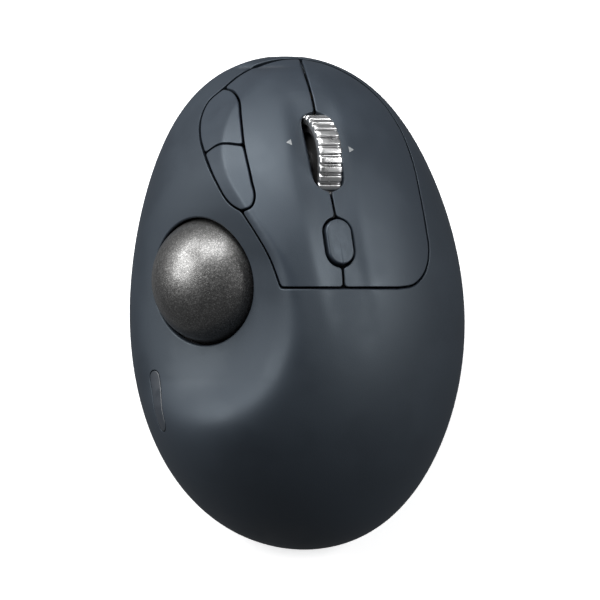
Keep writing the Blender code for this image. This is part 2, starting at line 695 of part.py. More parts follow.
def make_wheel_mount():
    """Two ears for the cradle's pins on legs that stand on the main board."""
    frame = wheel_frame()
    deck = BOARD_Z[1] + FIT
    mount = block("wheel_mount", (15.5, 34, 1.6), at=(2.6, 36.0, deck + 0.8))
    for side, ear_low in ((1, -10.5), (-1, -4.5)):
        ear = block("ear", (10.0, 2.2, 2.4 - ear_low), frame, at=(0, side * 16.8, (2.4 + ear_low) / 2))
        foot = frame @ Vector((0, side * 17.2, ear_low + 0.4))
        leg = block("leg", (5.0, 2.4, foot.z - deck), at=(foot.x, foot.y, (foot.z + deck) / 2))
        join(mount, leg, ear)
        cut(mount, rod("pin_room", 1.3 + FIT, 6, frame, at=(0, side * 16.8, 0), along="Y", sides=16))
    seat = frame @ Vector((0, 0, -21.6))
    shelf = block("shelf", (7, 7, 1.4), frame, at=(0, 0, -20.6))
    return join(mount, block("stand", (3, 3, seat.z - deck), at=(seat.x, seat.y, (seat.z + deck) / 2)), shelf)


def make_wheel_electrics():
    frame = wheel_frame()
    encoder = block("wheel_encoder", (2.8, 9, 9), frame, at=(8.2, 0, -1.2))
    click = block("wheel_click_switch", (6, 6, 2.6), frame, at=(0, 0, -18.3))
    join(click, rod("knob", 1.5, 1.0, frame, at=(0, 0, -16.7), sides=14))
    tilts = [block(f"tilt_switch_{name}", (3.0, 2.8, 3.2), frame, at=(side * 3.7, 13.9, -7.6))
             for name, side in (("left", -1), ("right", 1))]
    return encoder, click, tilts


# ---------------------------------------------------------------- boards and switches
def make_main_board():
    outline = [(-20, 31), (-4, 31), (4, 22), (4, -6), (34, -6), (34, 8), (32, 28), (24, 48), (12, 57.5),
               (-10, 57.5), (-20, 52)]
    board = prism("main_board", outline, *BOARD_Z)
    for x, y in CASE_SCREWS.values():
        cut(board, rod("boss_room", 3.7, 8, at=(x, y, 7), sides=20))
    for x, y in BOARD_POSTS:
        cut(board, rod("pin_room", 1.3, 8, at=(x, y, 7), sides=12))
    return cut(board, block("port_room", (9.6, 8, 8), at=(PORT_PLACE[0], 58.6, 7)))


def make_click_switch(side):
    x, y = CLICK_SWITCHES[side]
    low = BOARD_Z[1] + FIT
    body = block(f"{side}_switch", (6.0, 12.8, 6.5), at=(x, y, low + 3.25))
    cut(body, block("plunger_room", (3.2, 3.0, 5.0), at=(x, y, low + 6.0)))
    plunger = block(f"{side}_plunger", (2.4, 2.2, 3.2), at=(x, y, low + 6.5 + 1.0 - 1.6))
    return body, plunger


def thumb_key_frame():
    """Z along the travel of the thumb keys, Y from the back key to the forward key."""
    top = surface_point(-19.6, 40.5)
    up = (top - SEAM_FOCUS).normalized()
    along = surface_point(-19.6, 48.5) - surface_point(-18.4, 33.0)
    return frame_of(top - 10.6 * up, up, along)


def make_thumb_switches():
    frame = thumb_key_frame()
    board = block("thumb_key_board", (6.0, 23, 1.2), frame, at=(0, 0.8, -0.6), bevel=1.0)
    bracket = block("thumb_key_bracket", (6.0, 21, 1.4), frame, at=(0, 1.2, -1.6 - 0.7))
    foot = frame @ Vector((0, 2.0, -3.2))
    deck = BOARD_Z[1] + FIT
    join(bracket, block("leg", (4.4, 6.0, foot.z - deck), at=(foot.x, foot.y, (foot.z + deck) / 2)))
    switches = []
    for name, y in (("forward_switch", THUMB_SWITCH_Y[0]), ("back_switch", THUMB_SWITCH_Y[1])):
        switch = block(name, (5.0, 5.0, 2.4), frame, at=(0, y, 1.5))
        switches.append(join(switch, rod("knob", 1.4, 1.0, frame, at=(0, y, 2.9), sides=14)))
    return board, bracket, switches


def add_thumb_stems(keys):
    frame = thumb_key_frame()
    for name, y in (("forward_button", THUMB_SWITCH_Y[0]), ("back_button", THUMB_SWITCH_Y[1])):
        low, high = 4.2, surface_reach(frame, 0, y) - 1.0
        join(keys[name], rod("stem", 1.6, high - low, frame, at=(0, y, (high + low) / 2), sides=12))


def make_dpi_switch():
    frame = dpi_frame()
    board = block("dpi_board", (6.4, 6.8, 1.0), frame, at=(0, 0.2, -8.6), bevel=0.8)
    switch = block("dpi_switch", (4.6, 4.6, 2.0), frame, at=(0, 0.2, -6.8))
    return board, join(switch, rod("knob", 1.2, 1.0, frame, at=(0, 0.2, -5.5), sides=14))


def make_hinge_bracket():
    """A post for the keys' hinge rod, with a shelf ahead of it for the DPI switch board."""
    y, z = KEY_HINGE
    deck = BOARD_Z[1] + FIT
    bracket = block("key_hinge_bracket", (9.0, 10.0, 1.6), at=(10.5, y, deck + 0.8))
    join(bracket, block("post", (4.4, 6.4, z + 2.4 - deck), at=(10.5, y, (z + 2.4 + deck) / 2)))
    join(bracket, block("shelf", (5.6, 13.0, 1.6), dpi_frame(), at=(0.2, -3.2, -10.3)))
    cut(bracket, rod("rod_room", 1.5 + FIT, 12, at=(10.5, y, z), along="X", sides=20))
    hinge_rod = rod("key_hinge_rod", 1.5, 26.0, at=(11.7, y, z), along="X", sides=20)
    return bracket, hinge_rod


# ---------------------------------------------------------------- power, port and underside
def make_battery():
    pack = block("battery", (34, 36, 6.0), at=(8, -32, FLOOR_TOP + FIT + 3.0), bevel=2.0)
    plug = block("battery_connector", (6, 4.4, 3.4), at=(12, -2.5, BOARD_Z[1] + FIT + 1.7))
    return pack, plug


def tube_along(name, points, radius, sides=8):
    """A round lead through a run of points."""
    path = [Vector(p) for p in points]
    bm = bmesh.new()
    loops = []
    for i, here in enumerate(path):
        along = (path[min(i + 1, len(path) - 1)] - path[max(i - 1, 0)]).normalized()
        frame = frame_of(here, along, (1, 0, 0))
        turns = [2 * math.pi * k / sides for k in range(sides)]
        loops.append([bm.verts.new(frame @ Vector((radius * math.cos(a), radius * math.sin(a), 0)))
                      for a in turns])
    loft(bm, loops)
    return from_bmesh(name, bm)


def make_battery_lead():
    points = [(12, -13.6, 6.4), (12, -11.4, 6.6), (12, -9.4, 7.6), (12, -7.6, 9.0), (12, -6.2, 9.6),
              (12, -5.1, 9.6)]
    return tube_along("battery_lead", points, 1.1)


def make_usb_port():
    x, z = PORT_PLACE
    frame = frame_of(Vector((x, 58.6, z)), (0, 1, 0), (1, 0, 0))
    port = prism("usb_port", capsule_outline(8.9, 3.2), -3.6, 3.6, frame)
    cut(port, prism("port_mouth", capsule_outline(8.3, 2.6), -2.8, 6, frame))
    return join(port, block("contact_tongue", (0.7, 6.6, 6.0), frame, at=(0, 0, -0.4)))


def make_underside_controls():
    x, y = POWER_PLACE
    off = x - POWER_TRAVEL / 2
    knob = block("power_switch_knob", (2.8, 2.8, 3.4), at=(off, y, 2.7))
    join(knob, block("flange", (9.6, 5.4, 0.8), at=(off, y, FLOOR_TOP + FIT + 0.4)))
    body = block("power_switch_body", (10.0, 5.0, 0.9), at=(x, y, BOARD_Z[0] - FIT - 0.45))
    bx, by = PAIRING_PLACE
    button = rod("pairing_button", 1.6, 2.8, at=(bx, by, 2.4), sides=20)
    join(button, rod("flange", 2.8, 0.8, at=(bx, by, FLOOR_TOP + FIT + 0.4), sides=20))
    switch = block("pairing_switch", (5.0, 5.0, 0.9), at=(bx, by, BOARD_Z[0] - FIT - 0.45))
    return knob, body, button, switch


def make_feet():
    return [prism(name, capsule_outline(*FOOT_SIZE), 0.0, 1.1, turned(x, y, degrees))
            for name, (x, y, degrees) in FEET.items()]


def make_case_screws():
    screws = []
    for name, (x, y) in CASE_SCREWS.items():
        screw = rod(name, 2.3, 1.2, at=(x, y, 1.4 - 0.3), sides=20)
        cut(screw, block("cross_slot", (2.8, 0.6, 1.0), at=(x, y, 0.5)))
        cut(screw, block("cross_slot", (0.6, 2.8, 1.0), at=(x, y, 0.5)))
        screws.append(join(screw, rod("shank", 1.0, 9.0, at=(x, y, 6.0), sides=12)))
    return screws


def make_window():
    frame = window_frame()
    size = [side - 0.4 for side in WINDOW_SIZE]
    window = keep_common(pill_cutter("indicator_window", frame, *size, -6, 4), hull("outer", 0))
    cut(window, hull("behind", 1.4, floor_z=-4))
    guide = block("indicator_light_guide", (2.6, 12.6, 1.6), frame, at=(0, 0, -4.2))
    board = block("indicator_board", (3.0, 14.0, 0.8), frame, at=(0.4, 0, -5.7))
    return window, guide, board


# ---------------------------------------------------------------- the whole object
def make_materials():
    return {
        "shell": plastic("graphite_shell", (0.050, 0.058, 0.070), 0.55),
        "key": plastic("grey_key", (0.110, 0.120, 0.136), 0.48),
        "ball": plastic("pearl_ball", (0.200, 0.200, 0.205), 0.22, 0.35),
        "chrome": plastic("chromed_ring", (0.72, 0.72, 0.73), 0.16, 1.0),
        "black": plastic("black_plastic", (0.018, 0.018, 0.020), 0.45),
        "steel": plastic("bright_steel", (0.55, 0.55, 0.56), 0.28, 1.0),
        "ceramic": plastic("white_ceramic", (0.78, 0.78, 0.76), 0.18),
        "board": plastic("circuit_board", (0.012, 0.070, 0.034), 0.45),
        "chip": plastic("chip_resin", (0.020, 0.020, 0.022), 0.40),
        "window": plastic("smoked_window", (0.012, 0.012, 0.014), 0.10),
        "clear": plastic("clear_lens", (0.80, 0.82, 0.84), 0.08),
        "pad": plastic("slippery_pad", (0.040, 0.040, 0.042), 0.60),
        "wrap": plastic("battery_wrap", (0.30, 0.32, 0.34), 0.35, 0.4),
        "lead": plastic("lead_sleeve", (0.30, 0.015, 0.012), 0.40),
    }


def build():
    clear_scene()
    made = {"shell": [make_top_shell(), make_bottom_case()], "ball": [make_trackball()]}
    keys = make_keys()
    add_thumb_stems(keys)
    dpi_board, dpi_switch = make_dpi_switch()
    ring, core, axle = make_wheel()
    encoder, wheel_click, tilt_switches = make_wheel_electrics()
    left_switch, left_plunger = make_click_switch("left")
    right_switch, right_plunger = make_click_switch("right")
    thumb_board, thumb_bracket, thumb_switches = make_thumb_switches()
    sensor_board, sensor_chip, lens = make_sensor()
    hinge_bracket, hinge_rod = make_hinge_bracket()
    pack, plug = make_battery()
    knob, switch_body, pairing_button, pairing_switch = make_underside_controls()
    window, guide, indicator_board = make_window()
    made["key"] = [*keys.values(), make_dpi_button()]
    made["chrome"] = [ring]
    made["black"] = [core, make_wheel_yoke(), make_wheel_cradle(), make_wheel_mount(), make_ball_cup(),
                     thumb_bracket, hinge_bracket, knob, pairing_button]
    made["steel"] = [axle, hinge_rod, make_usb_port(), *make_case_screws()]
    made["ceramic"] = [*make_bearings(), left_plunger, right_plunger]
    made["board"] = [make_main_board(), thumb_board, dpi_board, sensor_board, indicator_board]
    made["chip"] = [encoder, wheel_click, *tilt_switches, left_switch, right_switch, *thumb_switches,
                    dpi_switch, sensor_chip, plug, switch_body, pairing_switch]
    made["window"] = [window]
    made["clear"] = [lens, guide]
    made["pad"] = make_feet()
    made["wrap"] = [pack]
    made["lead"] = [make_battery_lead()]
    materials = make_materials()
    for slot, objects in made.items():
        for obj in objects:
            paint(obj, materials[slot])


build()
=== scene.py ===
"""Looks for a right-handed thumb trackball mouse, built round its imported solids.

It is laid out as an add-on: sizes and colours are scene properties, each piece or group of like
pieces has its own operator, and a panel in the 3D view lists them in the order they are made.
Lengths are in millimetres until a mesh is made. +X is to the user's right, +Y towards the nose.
"""

import functools
import json
import math

import bmesh
import bpy
import numpy as np
from bpy.props import FloatProperty, FloatVectorProperty, IntProperty, PointerProperty
from mathutils import Matrix, Vector
from mathutils.geometry import delaunay_2d_cdt

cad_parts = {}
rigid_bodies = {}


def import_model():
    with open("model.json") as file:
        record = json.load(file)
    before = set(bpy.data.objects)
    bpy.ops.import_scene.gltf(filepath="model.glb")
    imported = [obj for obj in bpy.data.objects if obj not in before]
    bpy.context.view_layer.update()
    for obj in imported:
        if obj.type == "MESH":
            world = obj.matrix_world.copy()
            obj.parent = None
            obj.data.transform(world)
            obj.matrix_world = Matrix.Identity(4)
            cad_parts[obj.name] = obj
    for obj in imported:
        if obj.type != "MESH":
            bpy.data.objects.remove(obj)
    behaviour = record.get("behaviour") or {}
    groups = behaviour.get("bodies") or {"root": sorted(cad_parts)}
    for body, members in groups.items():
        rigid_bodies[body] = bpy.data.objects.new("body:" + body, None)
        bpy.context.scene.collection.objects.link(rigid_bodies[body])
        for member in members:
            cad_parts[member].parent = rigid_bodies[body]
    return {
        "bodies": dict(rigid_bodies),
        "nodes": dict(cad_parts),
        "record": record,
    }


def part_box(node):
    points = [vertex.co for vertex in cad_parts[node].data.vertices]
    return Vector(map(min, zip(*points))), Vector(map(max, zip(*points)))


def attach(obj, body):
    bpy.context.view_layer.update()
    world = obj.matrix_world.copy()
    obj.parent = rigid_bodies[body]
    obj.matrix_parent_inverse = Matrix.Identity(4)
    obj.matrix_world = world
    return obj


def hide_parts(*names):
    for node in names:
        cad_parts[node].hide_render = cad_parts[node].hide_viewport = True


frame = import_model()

bl_info = {
    "name": "Thumb trackball mouse",
    "version": (1, 0, 0),
    "blender": (4, 5, 0),
    "location": "3D View > Sidebar > Trackball",
    "description": "Makes the visible pieces of a thumb trackball mouse round its packed solids",
    "category": "Add Mesh",
}


def clear_startup_objects():
    """Takes away what a new file holds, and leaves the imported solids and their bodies."""
    kept = set(frame["nodes"].values()) | set(frame["bodies"].values())
    for obj in list(bpy.data.objects):
        if obj not in kept:
            bpy.data.objects.remove(obj)


clear_startup_objects()
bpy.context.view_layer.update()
MM = 0.001

# ---------------------------------------------------------------- form of the body (mm)
HALF_LENGTH = 65.75
RIM_Z = 7.0
BASE_Z = 0.8
PARTING_Z = 4.6
PARTING_HALF_GAP = 0.15
UNDERCUT = 0.055
FLOOR_TOP = 3.0
SEAM_FOCUS = np.array((5.0, 15.0, -30.0))
SCOOP_FADE = (-50.0, -20.0)

# Middle lines of the key seams in plan. Runs that meet share a point.
REAR_SEAM = [(-4.2, 3.8), (4.0, 3.8), (12.3, 3.8), (20.0, 3.8), (27.0, 3.8)]
REAR_CORNER = [(27.0, 3.8), (30.8, 4.6), (33.5, 7.4), (34.7, 11.2), (34.9, 14.8)]
RIGHT_SEAM = [(34.9, 14.8), (32.8, 27.5), (30.3, 38.6), (27.6, 45.6), (23.0, 52.8),
              (14.4, 60.2), (7.8, 63.4), (0.85, 64.8)]
FRONT_SEAM_LEFT = [(0.85, 64.8), (-4.3, 64.6), (-10.4, 63.0), (-15.2, 60.4), (-19.4, 56.9)]
THUMB_KEYS_OUTER = [(-19.4, 56.9), (-23.8, 52.8), (-25.5, 48.4), (-25.6, 43.9), (-24.4, 39.2),
                    (-21.3, 31.8), (-17.2, 25.6), (-14.6, 24.0)]
THUMB_KEYS_INNER = [(-19.4, 56.9), (-17.0, 56.0), (-15.5, 53.8), (-14.9, 49.4), (-14.0, 41.4),
                    (-11.9, 31.8), (-11.1, 27.4), (-12.0, 25.0), (-14.6, 24.0)]
THUMB_KEYS_SPLIT = [(-24.4, 39.2), (-20.7, 41.6), (-14.0, 41.4)]
LOWER_LEFT_SEAM = [(-14.6, 24.0), (-10.6, 17.8), (-7.3, 12.0), (-4.2, 3.8)]
KEY_SPLIT = [(0.85, 64.8), (4.2, 53.2), (4.9, 49.6), (8.7, 29.7), (10.0, 23.0), (12.0, 9.0),
             (12.3, 3.8)]
# The crest between palm and thumb side as (y, x), and how softly the two meet at each y.
CREST = [(-65, -42), (-45, -26), (-31, -14.2), (-23, -8.4), (-18, -5.2), (-12, -2.9), (-2, -1.9),
         (4, -2.8), (11, -4.9), (16.4, -7.8), (25.8, -13.9), (33, -18.2), (40, -20.7),
         (46, -21.4), (52, -20.9), (58, -19.3), (66, -17.0)]
CREST_SOFTNESS = [(-40, 18.0), (-20, 11.0), (0, 6.5), (12, 4.0), (24, 1.4), (32, 0.6),
                  (52, 0.6), (57, 3.0), (61, 6.0), (66, 7.0)]
CREASE_ENDS = (23.0, 54.0)
CREASE_ROWS = (-0.55, -0.22, 0.0, 0.22, 0.55)
GROOVE_HALF_WIDTH = [(-20, 5.9), (10, 5.8), (24, 6.0), (36, 6.65), (45, 6.2)]
SMALLEST_ROUNDING = 0.12

# Where things sit in plan. The wheel is sunk under the skin, and slots are (length, width).
WHEEL_PLACE = (6.9, 40.2)
WHEEL_SUNK = 7.5
WHEEL_LEAN = math.radians(11.8)
WHEEL_SLOT = (24.2, 8.2)
DPI_PLACE = (11.05, 15.9)
DPI_LEAN = math.radians(8.0)
DPI_SLOT = (13.6, 8.6)
DPI_SLOT_ROUNDING = 0.42
DPI_KEY = (12.0, 7.2)
SOCKET_TILT = math.radians(37.0)
SOCKET_TURN = math.radians(187.0)
BALL_OPENING = 16.9
WINDOW_ENDS = [(-38.8, -17.6), (-35.2, -34.2)]
WINDOW_OPENING = (17.0, 4.2)
WINDOW_LENS = (16.6, 3.8)
PORT_PLACE = (-3.0, 7.4)
PORT_OPENING = (9.8, 3.7)
FEET = {"foot_front_left": (-19.0, 46.0, -35.0), "foot_front_right": (19.0, 44.0, 38.0),
        "foot_rear_left": (-25.0, -42.0, 35.0), "foot_rear_right": (27.0, -42.0, -35.0)}
FOOT_RECESS, FOOT_PAD = (16.6, 7.6), (16.0, 7.0)
CASE_SCREWS = {"case_screw_front_left": (-27.5, 31.0), "case_screw_front_right": (29.0, 31.0),
               "case_screw_rear_left": (-31.5, -27.0), "case_screw_rear_right": (32.5, -24.0)}
BOARD_POSTS = [(-16.5, 48.0), (15.5, 52.0), (31.0, 18.0), (6.5, -3.5)]
POWER_PLACE = (20.0, 12.0)
PAIRING_PLACE = (28.5, 2.0)
CLICK_SWITCHES = {"left": (-9.5, 45.0), "right": (19.0, 42.0)}
UNDER_KEY = 1.6
HINGE_ROD = (7.0, 33.0)
BOSS_GAP, BOSS_GAP_UNDER_KEYS = 2.4, 4.6
SWITCH_TOP = 7.6 + 0.3 + 6.5 + 1.0  # the board's top, a gap, the switch's body and its pin

# ---------------------------------------------------------------- stage
LENS, SENSOR = 500, 36
VIEW_WIDTH = 0.15875
CAMERA_OVER = (0.0008, 0.0007, 0.020)
LIGHT_DISTANCE = 0.8
LIGHT_AIM = (0, 0, 0.03)
FLOOR_Z = -0.03


def middle_of(node):
    """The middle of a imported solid's box, in millimetres."""
    low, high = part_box(node)
    return (low + high) / (2 * MM)


def size_of(node):
    low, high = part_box(node)
    return (high - low) / MM


BALL_CENTRE = middle_of("trackball")
BALL_RADIUS = size_of("trackball").z / 2


# ---------------------------------------------------------------- properties
def size_property(name, description, default, low, high):
    return FloatProperty(name=name, description=description, default=default, min=low, max=high)


class TrackballSizes(bpy.types.PropertyGroup):
    """Sizes that a user would change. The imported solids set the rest."""

    seam_gap: size_property("Seam", "Gap round every key", 0.6, 0.2, 1.2)
    nose_gap: size_property("Nose seam", "Gap at the nose, where keys move most", 1.0, 0.2, 2.0)
    shell_wall: size_property("Shell wall", "Thickness of the upper case", 2.2, 1.0, 3.0)
    key_wall: size_property("Key wall", "Thickness of the keys", 2.0, 1.0, 3.0)
    seam_rounding: size_property("Seam rounding", "Radius along the key seams", 0.32, 0.1, 1.0)
    nose_rounding: size_property("Nose rounding", "Radius of the keys' front edge", 0.9, 0.1, 2.0)
    slot_rounding: size_property("Slot rounding", "Radius round the wheel slot", 0.95, 0.1, 2.0)
    socket_rounding: size_property("Socket rounding", "Radius round the ball", 0.55, 0.1, 2.0)
    grid: size_property("Mesh spacing", "Distance between points on the skin", 1.0, 0.4, 4.0)
    rib_depth: size_property("Rib depth", "Depth of the grooves between ribs", 0.7, 0.2, 1.5)
    wheel_ribs: IntProperty(name="Wheel ribs", description="Ribs round the scroll wheel",
                            default=32, min=12, max=60)


def colour_property(name, description, default):
    return FloatVectorProperty(name=name, description=description, subtype="COLOR", size=3,
                               default=default, min=0.0, max=1.0)


class TrackballColours(bpy.types.PropertyGroup):
    """Base colours of the finishes."""

    shell: colour_property("Shell", "Graphite satin plastic of the case", (0.0105, 0.0140, 0.0195))
    key: colour_property("Keys", "Lighter grey plastic of the keys", (0.0150, 0.0195, 0.0265))
    ball: colour_property("Ball", "Pearl grey of the ball", (0.115, 0.114, 0.112))
    chrome: colour_property("Chrome", "Plated ring of the wheel", (0.56, 0.56, 0.56))
    black: colour_property("Black plastic", "Inner frames and wheel core", (0.016, 0.016, 0.018))
    steel: colour_property("Steel", "Screws, rods and the port", (0.55, 0.55, 0.56))
    pad: colour_property("Pads", "Slippery pads under the case", (0.040, 0.040, 0.042))
    window: colour_property("Window", "Smoked indicator window", (0.016, 0.020, 0.026))
    mark: colour_property("Marks", "Printed arrow marks", (0.20, 0.21, 0.215))
    board: colour_property("Boards", "Solder mask of the circuit boards", (0.006, 0.008, 0.008))


def sizes():
    return bpy.context.scene.trackball_sizes


def colours():
    return bpy.context.scene.trackball_colours


# ---------------------------------------------------------------- the body's outer surface
def body_outline(turn):
    """Plan outline of the widest line: an egg that leans a little to the left at the nose."""
    s = np.sin(turn)
    half_width = 44.5 - 3.0 * s + 0.5 * s**2 + 2.3 * s**3 + 3.9 * s**4
    middle = -0.03 - 1.27 * s - 2.37 * s**2 - 1.22 * s**3 + 1.8 * s**4
    return middle + half_width * np.cos(turn), HALF_LENGTH * s


_RIM_X, _RIM_Y = body_outline(np.linspace(0, 2 * np.pi, 1441))
RIM_ANGLES = np.unwrap(np.arctan2(_RIM_Y, _RIM_X))
RIM_RADII = np.hypot(_RIM_X, _RIM_Y)


def rim_radius(bearing):
    start = RIM_ANGLES[0]
    return np.interp(np.mod(bearing - start, 2 * np.pi) + start, RIM_ANGLES, RIM_RADII)


def rim_share(x, y):
    """0 at the middle of the plan, 1 on the widest line."""
    return np.clip(np.hypot(x, y) / rim_radius(np.arctan2(y, x)), 0, 1)


def through(points, at):
    """A smooth curve of second values through (first, second) points, read at the given firsts."""
    xs, ys = np.array(points, float).T
    slopes = np.gradient(ys, xs)
    i = np.clip(np.searchsorted(xs, at) - 1, 0, len(xs) - 2)
    h = xs[i + 1] - xs[i]
    t = np.clip((at - xs[i]) / h, 0, 1)
    return ((2 * t**3 - 3 * t**2 + 1) * ys[i] + (t**3 - 2 * t**2 + t) * h * slopes[i]
            + (3 * t**2 - 2 * t**3) * ys[i + 1] + (t**3 - t**2) * h * slopes[i + 1])


def step(value, low, high):
    t = np.clip((value - low) / (high - low), 0, 1)
    return t * t * (3 - 2 * t)


def domed(x, y, crown, fullness):
    """Brings a crown height down to the rim, with a fuller edge for a higher fullness."""
    return RIM_Z + (crown - RIM_Z) * np.sqrt(1 - rim_share(x, y) ** fullness)


def palm_height(x, y):
    """The dome under the palm and fingers, which falls away to the right."""
    crown = 51.5 - 0.16 * (x + 4) - 0.0035 * (x + 4) ** 2 - 0.0022 * y**2 - 0.04 * y
    return domed(x, y, crown, 2.4)


def finger_groove(x, y):
    """The shallow channel that the scroll wheel and the sensitivity key lie in."""
    middle = 9.5 - 0.205 * (y - 22.8)
    half_width = np.interp(y, *np.array(GROOVE_HALF_WIDTH).T)
    along = 1 / (1 + np.exp(-(y + 2) / 5)) / (1 + np.exp((y - 53) / 1.5))
    return 1.3 * np.exp(-(((x - middle) / half_width) ** 4)) * along


def thumb_height(x, y):
    """The scooped side that carries the ball, falling to the left from the crest."""
    crest = through(CREST, y)
    below = crest - x
    fall = 1.115 * below - 0.00865 * np.maximum(below, 0) ** 2
    side = domed(x, y, palm_height(crest, y) - fall, 10.0)
    reach = step(y, *SCOOP_FADE)
    return reach * side + (1 - reach) * (palm_height(x, y) + 14)


def height(x, y):
    """Height of the outer surface over a point in plan."""
    x, y = np.asarray(x, float), np.asarray(y, float)
    softness = np.interp(y, *np.array(CREST_SOFTNESS, float).T)
    palm = palm_height(x, y) - finger_groove(x, y)
    thumb = thumb_height(x, y)
    blend = np.clip(softness - np.abs(palm - thumb), 0, None) / softness
    return np.minimum(palm, thumb) - blend**3 * softness / 6


def crest_line(spacing=0.4):
    """Points along the crease between palm and thumb side, with two rows beside it each way."""
    y = np.arange(*CREASE_ENDS, spacing)
    left, right = through(CREST, y) - 4.0, through(CREST, y) + 7.0
    for _ in range(30):
        x = (left + right) / 2
        over = thumb_height(x, y) > palm_height(x, y) - finger_groove(x, y)
        left, right = np.where(over, left, x), np.where(over, x, right)
    x = np.concatenate([x + shift for shift in CREASE_ROWS])
    y = np.tile(y, len(CREASE_ROWS))
    return np.column_stack([x, y, height(x, y)])


def lowest_height(x, y):
    return float(height(x, y).min())


def full_turn(count):
    return np.linspace(0, 2 * np.pi, count, endpoint=False)


def at_level(outline, z):
    """A plan outline at one height."""
    return np.column_stack([outline, np.full(len(outline), z)])


def ring_of(turns, radius, z):
    """Points round Z at one radius, or at a radius for each turn."""
    return at_level(np.column_stack([radius * np.cos(turns), radius * np.sin(turns)]), z)


def surface_point(x, y):
    return Vector((x, y, float(height(x, y))))


def surface_normal(x, y, reach):
    rise_x = float(height(x + reach, y) - height(x - reach, y)) / (2 * reach)
    rise_y = float(height(x, y + reach) - height(x, y - reach)) / (2 * reach)
    return Vector((-rise_x, -rise_y, 1)).normalized()


# ---------------------------------------------------------------- frames
def frame_of(origin, up, forward):
    """A matrix in millimetres with Z up and with Y along the given direction, made square to Z."""
    z = Vector(up).normalized()
    x = Vector(forward).cross(z).normalized()
    y = z.cross(x)
    placed = Matrix((x, y, z)).transposed().to_4x4()
    placed.translation = origin
    return placed


def forward_over(up, lean):
    """The direction in the surface that points forward, leaning left by an angle in plan."""
    x, y = -math.sin(lean), math.cos(lean)
    return Vector((x, y, -(x * up.x + y * up.y) / up.z))


def wheel_frame():
    """Z square to the key surface at the wheel, Y forward along the slot, origin on the axle."""
    up = surface_normal(*WHEEL_PLACE, reach=9.0)
    axle = surface_point(*WHEEL_PLACE) - WHEEL_SUNK * up
    return frame_of(axle, up, forward_over(up, WHEEL_LEAN))


def axle_frame():
    """The wheel's frame turned so that Z runs along the axle."""
    return wheel_frame() @ Matrix.Rotation(math.pi / 2, 4, "Y")


def sensitivity_frame():
    up = surface_normal(*DPI_PLACE, reach=3.0)
    return frame_of(surface_point(*DPI_PLACE), up, forward_over(up, DPI_LEAN))


def socket_axis():
    return Vector((math.sin(SOCKET_TILT) * math.cos(SOCKET_TURN),
                   math.sin(SOCKET_TILT) * math.sin(SOCKET_TURN), math.cos(SOCKET_TILT)))


def socket_frame():
    return frame_of(BALL_CENTRE, socket_axis(), (0, 1, 0))


def window_frame():
    """Z square to the thumb side at the indicator window, Y along the window towards the front."""
    (x0, y0), (x1, y1) = WINDOW_ENDS
    middle = ((x0 + x1) / 2, (y0 + y1) / 2)
    along = surface_point(x0, y0) - surface_point(x1, y1)
    return frame_of(surface_point(*middle), surface_normal(*middle, reach=1.5), along)


def port_frame():
    return frame_of(Vector((PORT_PLACE[0], HALF_LENGTH, PORT_PLACE[1])), (0, 1, 0), (1, 0, 0))


def turned(x, y, degrees=0.0):
    return Matrix.Translation((x, y, 0)) @ Matrix.Rotation(math.radians(degrees), 4, "Z")


def into(placed, points):
    """Points in a frame's own axes."""
    inverse = np.array(placed.inverted())
    return points @ inverse[:3, :3].T + inverse[:3, 3]


def out_of(placed, points):
    """Points given in a frame's own axes, in the object's frame."""
    matrix = np.array(placed)
    return np.asarray(points, float) @ matrix[:3, :3].T + matrix[:3, 3]


# ---------------------------------------------------------------- the surface unrolled
def unit(vectors):
    return vectors / np.maximum(np.linalg.norm(vectors, axis=-1, keepdims=True), 1e-9)


